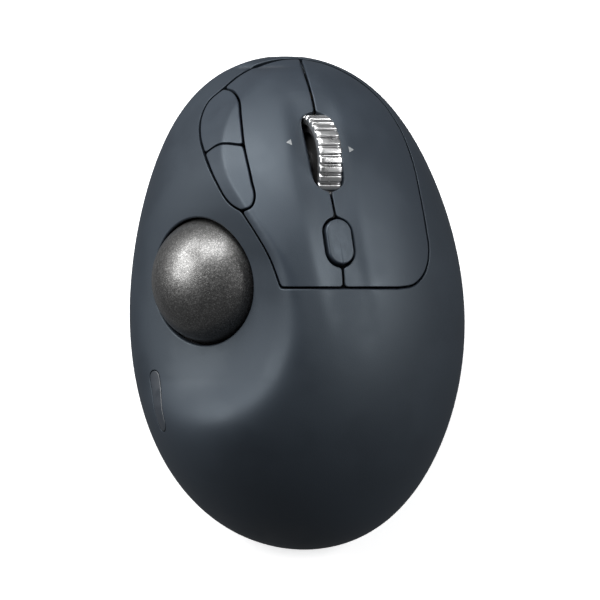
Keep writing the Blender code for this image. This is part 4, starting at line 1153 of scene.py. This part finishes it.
# Each finish: its maker, its colour or the scene property that holds it, and its values.
FINISHES = {
    "graphite_shell": (moulded_plastic, "shell", dict(rough=(0.52, 0.62), Specular_Tint=COOL)),
    "grey_key": (moulded_plastic, "key",
                 dict(rough=(0.46, 0.55), grain=3000.0, Specular_Tint=COOL)),
    "pearl_ball": (pearl_resin, "ball", {}),
    # The ring's grooves get strong painted shade, darkened towards black.
    "chromed_ring": (worked_metal, "chrome", dict(rough=(0.26, 0.34), marks=0.12, grime=3.4)),
    "black_plastic": (moulded_plastic, "black", dict(rough=(0.42, 0.55), wear=2.0)),
    "bright_steel": (worked_metal, "steel", dict(rough=(0.24, 0.36), scratch=500.0)),
    "white_ceramic": (moulded_plastic, (0.76, 0.76, 0.74),
                      dict(rough=(0.14, 0.22), wear=1.0, depth=0.000006, contrast=0.04)),
    "switch_plunger": (moulded_plastic, (0.72, 0.72, 0.70),
                       dict(rough=(0.32, 0.42), wear=1.0, contrast=0.05)),
    "circuit_board": (solder_mask, "board", {}),
    "chip_resin": (moulded_plastic, (0.02, 0.02, 0.022),
                   dict(rough=(0.36, 0.48), grain=5000.0, wear=1.8)),
    "smoked_window": (smoked_plastic, "window", {}),
    "clear_lens": (moulded_plastic, (0.78, 0.80, 0.82),
                   dict(rough=(0.05, 0.12), wear=1.0, depth=0.000004, contrast=0.03,
                        Transmission_Weight=0.85)),
    "slippery_pad": (moulded_plastic, "pad",
                     dict(rough=(0.52, 0.66), grain=1400.0, wear=1.6, dust=0.25)),
    "battery_wrap": (moulded_plastic, (0.30, 0.32, 0.34),
                     dict(rough=(0.26, 0.40), grain=700.0, depth=0.00006, Metallic=0.4)),
    "lead_sleeve": (moulded_plastic, (0.30, 0.015, 0.012), dict(rough=(0.34, 0.44))),
}


def finish_for(slot_name):
    """The material for one of the object's finishes, made on first use."""
    name = slot_name + " finish"
    maker, colour, values = FINISHES[slot_name]
    if isinstance(colour, str):
        colour = tuple(getattr(colours(), colour))
    return bpy.data.materials.get(name) or maker(name, colour, **values)


# ---------------------------------------------------------------- solids with cuts
def block(name, size, at):
    """A plain block, used as a knob or as a cutter."""
    bm = bmesh.new()
    placed = Matrix.Translation(at) @ Matrix.Diagonal((*size, 1))
    bmesh.ops.create_cube(bm, size=1.0, matrix=placed)
    return from_bmesh(name, bm)


def rod(name, radius, length, at, sides=64):
    bm = bmesh.new()
    bmesh.ops.create_cone(bm, cap_ends=True, segments=sides, radius1=radius, radius2=radius,
                          depth=length, matrix=Matrix.Translation(at))
    return from_bmesh(name, bm)


def from_bmesh(name, bm):
    """An object in metres from a mesh in millimetres."""
    bmesh.ops.recalc_face_normals(bm, faces=bm.faces)
    bm.transform(Matrix.Scale(MM, 4))
    mesh = bpy.data.meshes.new(name)
    bm.to_mesh(mesh)
    bm.free()
    return new_object(name, mesh)


def pocket(name, placed, length, width, low, high):
    """A round-ended solid that cuts a pocket."""
    outline = plate_outline(length, width, steps=16)
    return loft(name, [out_of(placed, at_level(outline, z)) for z in (low, high)])


def combine(obj, other, operation="DIFFERENCE"):
    """Applies an exact Boolean and takes the other solid away."""
    modifier = obj.modifiers.new(operation.lower(), "BOOLEAN")
    modifier.object = other
    modifier.operation = operation
    modifier.solver = "EXACT"
    bpy.context.view_layer.update()
    evaluated = obj.evaluated_get(bpy.context.evaluated_depsgraph_get())
    mesh = bpy.data.meshes.new_from_object(evaluated)
    obj.modifiers.clear()
    obj.data = mesh
    bpy.data.objects.remove(other)


def eased(obj, width):
    """Rounds the sharp edges of a solid a little, and keeps its flats flat."""
    bevel = obj.modifiers.new("eased edges", "BEVEL")
    bevel.width = width * MM
    bevel.segments = 2
    bevel.limit_method = "ANGLE"
    bevel.angle_limit = math.radians(38)
    bevel.miter_outer = "MITER_ARC"
    weighted = obj.modifiers.new("flat flats", "WEIGHTED_NORMAL")
    weighted.keep_sharp = True
    obj.data.shade_smooth()


# ---------------------------------------------------------------- edges of the case and keys
@functools.cache
def body_skin():
    return BodySkin()


def on_surface(outline):
    return np.column_stack([outline, height(outline[:, 0], outline[:, 1])])


def keys_outline():
    return closed_outline(REAR_SEAM, REAR_CORNER, RIGHT_SEAM, FRONT_SEAM_LEFT, THUMB_KEYS_OUTER,
                          LOWER_LEFT_SEAM)


def key_outlines():
    return {
        "left_button": closed_outline(REAR_SEAM[:3], KEY_SPLIT[::-1], FRONT_SEAM_LEFT,
                                      THUMB_KEYS_INNER, LOWER_LEFT_SEAM),
        "right_button": closed_outline(REAR_SEAM[2:], REAR_CORNER, RIGHT_SEAM, KEY_SPLIT),
        "forward_button": closed_outline(THUMB_KEYS_OUTER[:5], THUMB_KEYS_SPLIT,
                                         THUMB_KEYS_INNER[:5][::-1]),
        "back_button": closed_outline(THUMB_KEYS_OUTER[4:], THUMB_KEYS_INNER[4:][::-1],
                                      THUMB_KEYS_SPLIT[::-1]),
    }


def signed_gap(points, outline):
    """Distance over the skin from points to a seam's middle line, negative inside it."""
    gap = distance_to_loop(points, on_surface(outline))
    return np.where(inside_outline(points[:, :2], outline), -gap, gap)


def edge_loop(skin, outline, gap_field):
    """The longest closed line on the skin along which a field of points is zero."""
    spacing = 0.3
    around = skin.unroll(on_surface(outline))
    low, high = around.min(0) - 3, around.max(0) + 3
    us, vs = np.arange(low[0], high[0], spacing), np.arange(low[1], high[1], spacing)
    u, v = np.meshgrid(us, vs)
    field = gap_field(skin.place(np.column_stack([u.ravel(), v.ravel()])))
    loops = level_loops(us, vs, field.reshape(u.shape))
    return skin.place(max(loops, key=len))


def to_focus(points):
    return unit(SEAM_FOCUS - points)


def frame_down(placed):
    """The way into the body along a frame's Z."""
    return -np.array(placed.to_3x3().col[2])


def project_along(skin, points, direction):
    """Where lines through points along a direction meet the skin."""
    direction = np.asarray(direction, float)
    for _ in range(14):
        uv = skin.unroll(points)
        normal = skin.normal(uv)
        miss = ((skin.place(uv) - points) * normal).sum(1, keepdims=True)
        points = points + miss / (normal @ direction)[:, None] * direction
    return points


def parting_loop(skin, z):
    """The line round the body's wall at one height."""
    turns = full_turn(1200)
    rows = skin.profile_at(turns)
    k = np.argmax(rows[:, :, 1] < z, axis=1)
    index = np.arange(len(turns))
    above, below = rows[index, k - 1], rows[index, k]
    share = (above[:, 1] - z) / (above[:, 1] - below[:, 1])
    return ring_of(turns, above[:, 0] + share * (below[:, 0] - above[:, 0]), z)


def upper_case_edges(skin):
    """The parting line, then the openings for the keys, the ball, the window and the port."""
    s = sizes()
    parting_line = parting_loop(skin, PARTING_Z + PARTING_HALF_GAP)
    parting = Edge(skin, parting_line, np.zeros(3), 0.22, spacing=0.8)
    parting.wall = -parting.normal
    outline = keys_outline()

    def opening(points):
        nose = (s.nose_gap - s.seam_gap) * step(points[:, 1], 50.0, 60.0)
        return signed_gap(points, outline) - s.seam_gap / 2 - nose

    keys = edge_loop(skin, outline, opening)
    socket = socket_frame()
    ball = surface_loop(socket, ring_of(full_turn(400), BALL_OPENING, 0.0)[:, :2], low=-2.0)
    window = surface_loop(window_frame(), plate_outline(*WINDOW_OPENING, steps=24))
    port = out_of(port_frame(), at_level(plate_outline(*PORT_OPENING, steps=20), -1.0))
    port = project_along(skin, port, (0, 1, 0))
    return [parting,
            Edge(skin, keys, to_focus(keys), s.seam_rounding),
            Edge(skin, ball, frame_down(socket), s.socket_rounding, clear_ball=True),
            Edge(skin, window, frame_down(window_frame()), 0.18, spacing=0.3),
            Edge(skin, port, frame_down(port_frame()), 0.30, spacing=0.3)]


def key_edge(skin, name):
    """The outline of one key, with its share of the wheel's and sensitivity key's slots."""
    s = sizes()
    outline = key_outlines()[name]
    slots = ((wheel_frame(), WHEEL_SLOT, s.slot_rounding),
             (sensitivity_frame(), DPI_SLOT, DPI_SLOT_ROUNDING))

    def gap(points):
        away = signed_gap(points, outline) + s.seam_gap / 2
        for placed, size, _ in slots:
            away = np.maximum(away, -slot_gap(points, placed, *size))
        return away

    loop = edge_loop(skin, outline, gap)
    wall = to_focus(loop)
    nose = step(loop[:, 1], 53.0, 62.0)[:, None]
    rounding = s.seam_rounding + (s.nose_rounding - s.seam_rounding) * nose
    for placed, size, slot_rounding in slots:
        here = step(-np.abs(slot_gap(loop, placed, *size)), -0.45, -0.12)[:, None]
        wall = wall * (1 - here) + here * frame_down(placed)
        rounding = rounding * (1 - here) + here * slot_rounding
    return Edge(skin, loop, wall, rounding)


def key_piece(name, body):
    skin = body_skin()
    key = skin_object(name + "_skin", skin, [key_edge(skin, name)], sizes().key_wall, sizes().grid)
    finish_piece(key, body, "grey_key", name)


def inner_plate(name, size, at, body, slot_name, radius=0.25):
    """A small rounded block inside the body."""
    width, length, depth = size
    radius = min(radius, width / 4, depth / 4)
    levels = rounded_levels(length, width, -depth / 2, depth / 2, radius)
    piece = plate(name, Matrix.Translation(at), levels, corner=min(0.6, width / 3))
    finish_piece(piece, body, slot_name)


# ---------------------------------------------------------------- operators
class PieceOperator:
    """Shared by the operators: each makes its piece in one go and says so."""

    bl_options = {"REGISTER", "UNDO"}

    def execute(self, context):
        self.make()
        return {"FINISHED"}


class TRACKBALL_OT_upper_case(PieceOperator, bpy.types.Operator):
    """Makes the upper case: one skin with openings for the keys, ball, window and port"""

    bl_idname = "trackball.upper_case"
    bl_label = "Upper case"

    def make(self):
        skin = body_skin()
        case = skin_object("upper_case_skin", skin, upper_case_edges(skin), sizes().shell_wall,
                           sizes().grid)
        around = full_turn(24)
        finish_piece(case, "case", "graphite_shell", "top_shell")
        for name, (x, y) in CASE_SCREWS.items():
            under_keys = inside_outline(np.array([[x, y]]), keys_outline())[0]
            top = lowest_height(x + 3.4 * np.cos(around), y + 3.4 * np.sin(around))
            top -= BOSS_GAP_UNDER_KEYS if under_keys else BOSS_GAP
            low = FLOOR_TOP + 0.3
            profile = [(1.3, low), (3.0, low), (3.2, FLOOR_TOP + 0.5), (3.2, top), (1.3, top)]
            boss = revolved(name.replace("case_screw", "screw_boss"), turned(x, y), profile, 48)
            finish_piece(boss, "case", "graphite_shell")


class TRACKBALL_OT_lower_case(PieceOperator, bpy.types.Operator):
    """Makes the lower case: a shallow tray with recesses for the pads, screws, switch and ball"""

    bl_idname = "trackball.lower_case"
    bl_label = "Lower case"

    def wall(self, z, inset=0.0):
        """The wall's outline at one height."""
        turns = full_turn(240)
        share = 1 - UNDERCUT * ((RIM_Z - max(z, BASE_Z)) / (RIM_Z - BASE_Z)) ** 1.6
        return ring_of(turns, rim_radius(turns) * share - inset, z)

    def make(self):
        top = PARTING_Z - PARTING_HALF_GAP
        base = [self.wall(BASE_Z + 0.9 * (1 - math.cos(a)), 0.9 * (1 - math.sin(a)))
                for a in np.linspace(0, math.pi / 2, 6)]
        sides = [self.wall(z) for z in (2.4, 3.2, 3.9, top - 0.2)]
        case = loft("lower_case", [*base, *sides, self.wall(top, 0.18)])
        hollow = [self.wall(BASE_Z, 1.0), self.wall(BASE_Z, 1.0)]
        hollow[0][:, 2], hollow[1][:, 2] = FLOOR_TOP, 20
        combine(case, loft("hollow", hollow))
        x, y = BALL_CENTRE.xy
        combine(case, rod("collar", 7.4, 6.0, at=(x, y, 4.8)), "UNION")
        combine(case, rod("eject_hole", 6.0, 20, at=(x, y, 4)))
        for px, py in BOARD_POSTS:
            combine(case, rod("post", 2.2, 3.7, at=(px, py, 3.85), sides=32), "UNION")
            combine(case, rod("pin", 1.0, 5.8, at=(px, py, 5.3), sides=24), "UNION")
        for px, py in CASE_SCREWS.values():
            combine(case, rod("screw_hole", 1.5, 12, at=(px, py, 2), sides=32))
            combine(case, rod("screw_recess", 2.8, 4, at=(px, py, 0), sides=48))
        for px, py, degrees in FEET.values():
            combine(case, pocket("foot_recess", turned(px, py, degrees), *FOOT_RECESS, -2, 1.4))
        combine(case, pocket("finger_dish", turned(*POWER_PLACE, 90), 13, 6.5, -2, 1.6))
        combine(case, block("knob_slot", (6.4, 3.4, 9), at=(*POWER_PLACE, 2)))
        combine(case, rod("pairing_dish", 4.0, 4, at=(*PAIRING_PLACE, -0.5)))
        combine(case, rod("pairing_hole", 1.9, 12, at=(*PAIRING_PLACE, 2), sides=40))
        eased(case, 0.14)
        finish_piece(case, "case", "graphite_shell", "bottom_case")


class TRACKBALL_OT_main_keys(PieceOperator, bpy.types.Operator):
    """Makes the left and right keys, with their pressers and hinge eyes"""

    bl_idname = "trackball.main_keys"
    bl_label = "Main keys"

    def make(self):
        low = SWITCH_TOP + 0.3
        for side, (x, y) in CLICK_SWITCHES.items():
            key_piece(side + "_button", side + "_key")
            corners = np.array([(x + i, y + j) for i in (-1.4, 1.4) for j in (-1.6, 1.6)])
            top = lowest_height(*corners.T) - UNDER_KEY
            inner_plate(side + "_presser", (2.6, 3.0, top - low), (x, y, (top + low) / 2),
                        side + "_key", "grey_key")
        for side, number, left, right in (("left", 1, -1.0, 3.0), ("right", 1, 14.6, 17.6),
                                          ("right", 2, 21.0, 24.0)):
            self.hinge_eye(side, number, left, right)

    def hinge_eye(self, side, number, left, right):
        """An arm from the underside of a key and the eye that turns on the hinge rod."""
        (y, z), width, middle = HINGE_ROD, right - left, (left + right) / 2
        top = lowest_height(np.array([left, right]), np.array([y + 2.0, y + 2.0])) - UNDER_KEY
        low = z + 2.4
        inner_plate(f"{side}_hinge_arm_{number}", (width, 4.0, top - low),
                    (middle, y, (top + low) / 2), side + "_key", "grey_key")
        home = frame_of((middle, y, z), (1, 0, 0), (0, 1, 0))
        half = width / 2
        profile = [(1.8, -half), (2.8, -half), (3.0, 0.2 - half), (3.0, half - 0.2), (2.8, half),
                   (1.8, half)]
        eye = revolved(f"{side}_hinge_eye_{number}", home, profile, 64)
        finish_piece(eye, side + "_key", "grey_key")


class TRACKBALL_OT_thumb_keys(PieceOperator, bpy.types.Operator):
    """Makes the forward and back keys beside the ball, with the stems that work their switches"""

    bl_idname = "trackball.thumb_keys"
    bl_label = "Thumb keys"

    def make(self):
        top = surface_point(-19.6, 40.5)
        up = (top - Vector(SEAM_FOCUS)).normalized()
        along = surface_point(-19.6, 48.5) - surface_point(-18.4, 33.0)
        home = frame_of(top - 10.6 * up, up, along)
        for name, body, y in (("forward_button", "forward_key", 7.5),
                              ("back_button", "back_key", -7.0)):
            key_piece(name, body)
            middle = surface_loop(home, [(0, y)], low=0.0, high=20.0)[0]
            reach = float(into(home, middle[None])[0, 2]) - 1.2
            profile = [(0.2, 4.2), (1.3, 4.2), (1.6, 4.5), (1.6, reach), (0.2, reach)]
            stem = revolved(name.replace("button", "stem"), home @ Matrix.Translation((0, y, 0)),
                            profile, 32, closed=False)
            finish_piece(stem, body, "grey_key")


class TRACKBALL_OT_sensitivity_key(PieceOperator, bpy.types.Operator):
    """Makes the small pill-shaped key behind the wheel, and its stem"""

    bl_idname = "trackball.sensitivity_key"
    bl_label = "Sensitivity key"

    def make(self):
        home = sensitivity_frame()
        levels = rounded_levels(*DPI_KEY, -2.4, 0.8, 0.2, 0.45, 5)
        key = plate("sensitivity_key", home, levels, sharp=60)
        finish_piece(key, "dpi_key", "grey_key", "dpi_button")
        profile = [(0.2, -4.3), (1.2, -4.3), (1.4, -4.1), (1.4, -2.2), (0.2, -2.2)]
        stem = revolved("sensitivity_stem", home, profile, 32, closed=False)
        finish_piece(stem, "dpi_key", "grey_key")


class TRACKBALL_OT_indicator(PieceOperator, bpy.types.Operator):
    """Makes the smoked indicator window behind the ball"""

    bl_idname = "trackball.indicator"
    bl_label = "Indicator window"

    def make(self):
        skin = body_skin()
        loop = surface_loop(window_frame(), plate_outline(*WINDOW_LENS, steps=24))
        edge = Edge(skin, loop, frame_down(window_frame()), 0.2, spacing=0.25)
        window = skin_object("indicator_lens", skin, [edge], 1.4, 0.6)
        finish_piece(window, "case", "smoked_window", "indicator_window")


class TRACKBALL_OT_ball(PieceOperator, bpy.types.Operator):
    """Makes the ball"""

    bl_idname = "trackball.ball"
    bl_label = "Ball"

    def make(self):
        bm = bmesh.new()
        bmesh.ops.create_icosphere(bm, subdivisions=6, radius=BALL_RADIUS,
                                   matrix=Matrix.Translation(BALL_CENTRE))
        ball = from_bmesh("pearl_ball", bm)
        ball.data.shade_smooth()
        finish_piece(ball, "ball", "pearl_ball", "trackball")


class TRACKBALL_OT_scroll_wheel(PieceOperator, bpy.types.Operator):
    """Makes the scroll wheel: a plated ribbed ring on a black core, turning on a steel axle"""

    bl_idname = "trackball.scroll_wheel"
    bl_label = "Scroll wheel"

    def make(self):
        finish_piece(self.ring(), "wheel", "chromed_ring", "scroll_wheel_ring")
        finish_piece(self.core(), "wheel", "black_plastic", "scroll_wheel_core")
        half = 6.3
        profile = [(0.1, -half), (1.2, -half), (1.5, 0.3 - half), (1.5, half - 0.3), (1.2, half),
                   (0.1, half)]
        axle = revolved("wheel_axle_rod", axle_frame(), profile, 48, closed=False)
        finish_piece(axle, "wheel", "bright_steel", "wheel_axle")

    def ring(self):
        """Flat-topped ribs with rounded ends between narrower grooves."""
        s = sizes()
        radius, half, bore = 13.0, 3.15, 10.4
        turns = full_turn(s.wheel_ribs * 20)
        share = np.mod(turns * s.wheel_ribs / (2 * np.pi), 1.0)
        groove = step(share, 0.53, 0.68) * (1 - step(share, 0.87, 1.02))
        groove = np.maximum(groove, 1 - step(share, -0.13, 0.02))
        right = [0.3, 0.62, 0.8, 0.89, 0.95, 0.985, 1.0]
        loops = []
        for w in [-w for w in right[::-1]] + [0.0] + right:
            shoulder = 0.75 * (1 - math.sqrt(max(0.0, 1 - max(0.0, (abs(w) - 0.76) / 0.24) ** 2)))
            r = radius - 0.06 * w * w - shoulder - (s.rib_depth * groove) * (1 - 0.35 * shoulder)
            loops.append(ring_of(turns, r, w * half))
        for more, w in ((0.5, 1.0), (0.1, 0.99), (0, 0.93), (0, 0.0), (0, -0.93), (0.1, -0.99),
                        (0.5, -1.0)):
            loops.append(ring_of(turns, bore + more, w * half))
        placed = [out_of(axle_frame(), loop) for loop in loops]
        return loft("ribbed_ring", placed, sharp=55, cap=False)

    def core(self):
        """A dished disc with a hub and a raised rim, bored for the axle."""
        side = [(1.6, 2.25), (3.3, 2.3), (3.5, 2.1), (3.5, 1.55), (3.8, 1.4), (7.8, 1.4),
                (8.2, 1.6), (8.4, 2.2), (8.7, 2.3), (9.9, 2.3), (10.1, 2.1)]
        profile = side + [(r, -z) for r, z in side[::-1]]
        return revolved("wheel_core", axle_frame(), profile, 128)


class TRACKBALL_OT_pads(PieceOperator, bpy.types.Operator):
    """Makes the four slippery pads under the case"""

    bl_idname = "trackball.pads"
    bl_label = "Pads"

    def make(self):
        levels = rounded_levels(*FOOT_PAD, 0.0, 1.1, 0.35, 0.1)
        for node, (x, y, degrees) in FEET.items():
            pad = plate(node.replace("foot", "pad"), turned(x, y, degrees), levels)
            finish_piece(pad, "case", "slippery_pad", node)


class TRACKBALL_OT_screws(PieceOperator, bpy.types.Operator):
    """Makes the four case screws, each with a six-lobed recess"""

    bl_idname = "trackball.screws"
    bl_label = "Case screws"

    def make(self):
        turns = full_turn(96)
        lobes = 1.05 + 0.22 * np.cos(6 * turns)
        outside = [(0.1, 10.5), (0.85, 10.5), (1.0, 10.2), (1.0, 1.75), (2.3, 1.68), (2.3, 1.0),
                   (2.15, 0.68), (1.8, 0.52)]
        recess = [(1.08, 0.5), (1.0, 0.56), (0.95, 1.15), (0.15, 1.25)]
        loops = [ring_of(turns, r, z) for r, z in outside]
        loops += [ring_of(turns, lobes * share, z) for share, z in recess]
        for node, (x, y) in CASE_SCREWS.items():
            screw = loft(node + "_head", [out_of(turned(x, y), loop) for loop in loops], sharp=35)
            finish_piece(screw, "case", "bright_steel", node)


class TRACKBALL_OT_underside_controls(PieceOperator, bpy.types.Operator):
    """Makes the power switch's knob and the pairing button"""

    bl_idname = "trackball.underside_controls"
    bl_label = "Underside controls"

    def make(self):
        x, y = POWER_PLACE
        off = x - 1.4
        knob = block("power_knob", (2.8, 2.8, 3.4), at=(off, y, 2.7))
        for shift in (-0.7, 0.0, 0.7):
            combine(knob, block("grip", (0.3, 4.0, 0.6), at=(off + shift, y, 1.0)))
        eased(knob, 0.1)
        finish_piece(knob, "power_knob", "black_plastic", "power_switch_knob")
        inner_plate("power_knob_flange", (9.6, 5.4, 0.8), (off, y, FLOOR_TOP + 0.7), "power_knob",
                    "black_plastic", 0.15)
        profile = [(0.1, 1.12), (0.9, 1.08), (1.35, 1.0), (1.55, 1.12), (1.6, 1.3), (1.6, 3.3),
                   (2.7, 3.3), (2.8, 3.4), (2.8, 4.0), (2.7, 4.1), (0.1, 4.1)]
        button = revolved("pairing_key", turned(*PAIRING_PLACE), profile, 64, closed=False)
        finish_piece(button, "pairing_key", "black_plastic", "pairing_button")


class TRACKBALL_OT_port(PieceOperator, bpy.types.Operator):
    """Makes the charging port: a drawn steel shell with a rolled lip, and its contact tongue"""

    bl_idname = "trackball.port"
    bl_label = "Charging port"

    def make(self):
        x, z = PORT_PLACE
        home = frame_of(Vector((x, 58.6, z)), (0, 1, 0), (1, 0, 0))
        levels = [(8.6, 2.9, -3.6), (8.9, 3.2, -3.4), (8.9, 3.2, 3.4), (8.8, 3.1, 3.56),
                  (8.6, 2.9, 3.6), (8.4, 2.7, 3.5), (8.3, 2.6, 3.3), (8.3, 2.6, -2.8)]
        shell = plate("port_shell", home, levels, sharp=50)
        finish_piece(shell, "case", "bright_steel", "usb_port")
        levels = [(6.4, 0.6, -2.9), (6.6, 0.7, -2.7), (6.6, 0.7, 2.4), (6.4, 0.45, 2.6)]
        tongue = plate("port_tongue", home, levels, corner=0.2)
        finish_piece(tongue, "case", "black_plastic")


class TRACKBALL_OT_tilt_marks(PieceOperator, bpy.types.Operator):
    """Makes the two printed arrow marks beside the wheel"""

    bl_idname = "trackball.tilt_marks"
    bl_label = "Tilt marks"

    def make(self):
        skin, home = body_skin(), wheel_frame()
        material = moulded_plastic("arrow mark print", tuple(colours().mark), rough=(0.4, 0.5),
                                   depth=0.000004, wear=1.0)
        for name, body, place, side in (("left_tilt_mark", "left_key", (-2.0, 42.1), -1),
                                        ("right_tilt_mark", "right_key", (14.2, 40.3), 1)):
            local = into(home, np.array([surface_point(*place)]))[0, :2]
            corners = local + np.array([(side * 0.85, 0), (-side * 0.6, 0.95),
                                        (-side * 0.6, -0.95)])
            loop = surface_loop(home, even_loop(corners, 0.12), low=0.0, high=14.0)
            edge = Edge(skin, loop, frame_down(home), 0.02, spacing=0.14, reach=0.6)
            mark = skin_object(name, skin, [edge], 0.05, 0.3, raised=0.03, steps=2)
            finish_piece(mark, body, "grey_key", material=material)


class TRACKBALL_OT_inner_finishes(PieceOperator, bpy.types.Operator):
    """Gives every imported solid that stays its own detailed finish"""

    bl_idname = "trackball.inner_finishes"
    bl_label = "Inner finishes"

    def make(self):
        for row in frame["record"]["subparts"]:
            obj = frame["nodes"][row["node"]]
            if obj.hide_render:
                continue
            obj.data.materials.clear()
            obj.data.materials.append(finish_for(row["material_slot"]))


class TRACKBALL_OT_stage(PieceOperator, bpy.types.Operator):
    """Sets the pale floor, the soft lights and the camera straight above"""

    bl_idname = "trackball.stage"
    bl_label = "Stage"

    def make(self):
        self.floor()
        for name, (azimuth, elevation), size, power in (
                ("left softbox", (159, 25), (0.52, 0.50), 7.4),
                ("front softbox", (96, 32), (0.56, 0.46), 7.8),
                ("low softbox", (132, 9), (0.44, 0.24), 3.2),
                ("right softbox", (14, 27), (0.42, 0.34), 5.2)):
            self.light(name, azimuth, elevation, size, power)
        self.camera()
        world = bpy.data.worlds.new("studio")
        world.use_nodes = True
        shade = world.node_tree.nodes["Background"]
        shade.inputs["Color"].default_value = (0.95, 0.97, 1.0, 1.0)
        shade.inputs["Strength"].default_value = 0.18
        bpy.context.scene.world = world
        bpy.context.scene.view_settings.view_transform = "Standard"

    def floor(self):
        material, tree, shader = new_finish("pale floor", Roughness=0.9, Emission_Strength=0.55)
        shader.inputs["Emission Color"].default_value = (1, 1, 1, 1)
        tone = mixed(tree, noise(tree, 6.0), (0.90, 0.90, 0.90), (0.92, 0.92, 0.92))
        tree.links.new(tone, shader.inputs["Base Color"])
        beneath = tree.nodes.new("ShaderNodeNewGeometry").outputs["Backfacing"]
        tree.links.new(maths(tree, "SUBTRACT", 1.0, beneath), shader.inputs["Alpha"])
        bm = bmesh.new()
        bmesh.ops.create_grid(bm, x_segments=8, y_segments=8, size=4000,
                              matrix=Matrix.Translation((0, 0, FLOOR_Z)))
        floor = from_bmesh("floor", bm)
        if floor.data.polygons[0].normal.z < 0:
            floor.data.flip_normals()
        floor.data.materials.append(material)
        floor.visible_glossy = floor.visible_diffuse = floor.visible_shadow = False

    def light(self, name, azimuth, elevation, size, power):
        """A softbox aimed at the mouse; the azimuth runs from the right towards the front."""
        turn, lift = math.radians(azimuth), math.radians(elevation)
        out = Vector((math.cos(lift) * math.cos(turn), math.cos(lift) * math.sin(turn),
                      math.sin(lift)))
        data = bpy.data.lights.new(name, "AREA")
        data.shape = "RECTANGLE"
        data.size, data.size_y = size
        data.energy = power
        lamp = new_object(name, data)
        lamp.location = Vector(LIGHT_AIM) + LIGHT_DISTANCE * out
        lamp.rotation_euler = (-out).to_track_quat("-Z", "Y").to_euler()
        lamp.visible_camera = False

    def camera(self):
        data = bpy.data.cameras.new("camera")
        data.sensor_width = SENSOR
        data.lens = LENS
        data.clip_end = 20
        camera = new_object("camera", data)
        x, y, z = CAMERA_OVER
        camera.location = (x, y, z + VIEW_WIDTH * LENS / SENSOR)
        bpy.context.scene.camera = camera


OPERATORS = [TRACKBALL_OT_upper_case, TRACKBALL_OT_lower_case, TRACKBALL_OT_main_keys,
             TRACKBALL_OT_thumb_keys, TRACKBALL_OT_sensitivity_key, TRACKBALL_OT_indicator,
             TRACKBALL_OT_ball, TRACKBALL_OT_scroll_wheel, TRACKBALL_OT_pads, TRACKBALL_OT_screws,
             TRACKBALL_OT_underside_controls, TRACKBALL_OT_port, TRACKBALL_OT_tilt_marks,
             TRACKBALL_OT_inner_finishes, TRACKBALL_OT_stage]


class TRACKBALL_PT_pieces(bpy.types.Panel):
    """Sizes, colours and the operators, in the order that they run"""

    bl_idname = "TRACKBALL_PT_pieces"
    bl_label = "Thumb trackball mouse"
    bl_space_type = "VIEW_3D"
    bl_region_type = "UI"
    bl_category = "Trackball"

    def draw(self, context):
        layout = self.layout
        for group in (context.scene.trackball_sizes, context.scene.trackball_colours):
            column = layout.column(align=True)
            for name in group.__annotations__:
                column.prop(group, name)
        column = layout.column(align=True)
        for operator in OPERATORS:
            column.operator(operator.bl_idname, text=operator.bl_label)


CLASSES = [TrackballSizes, TrackballColours, *OPERATORS, TRACKBALL_PT_pieces]


def register():
    for cls in CLASSES:
        bpy.utils.register_class(cls)
    bpy.types.Scene.trackball_sizes = PointerProperty(type=TrackballSizes)
    bpy.types.Scene.trackball_colours = PointerProperty(type=TrackballColours)


def unregister():
    del bpy.types.Scene.trackball_sizes
    del bpy.types.Scene.trackball_colours
    for cls in reversed(CLASSES):
        bpy.utils.unregister_class(cls)


def main():
    register()
    for operator in OPERATORS:
        group, name = operator.bl_idname.split(".")
        getattr(getattr(bpy.ops, group), name)()


if __name__ == "__main__":
    main()
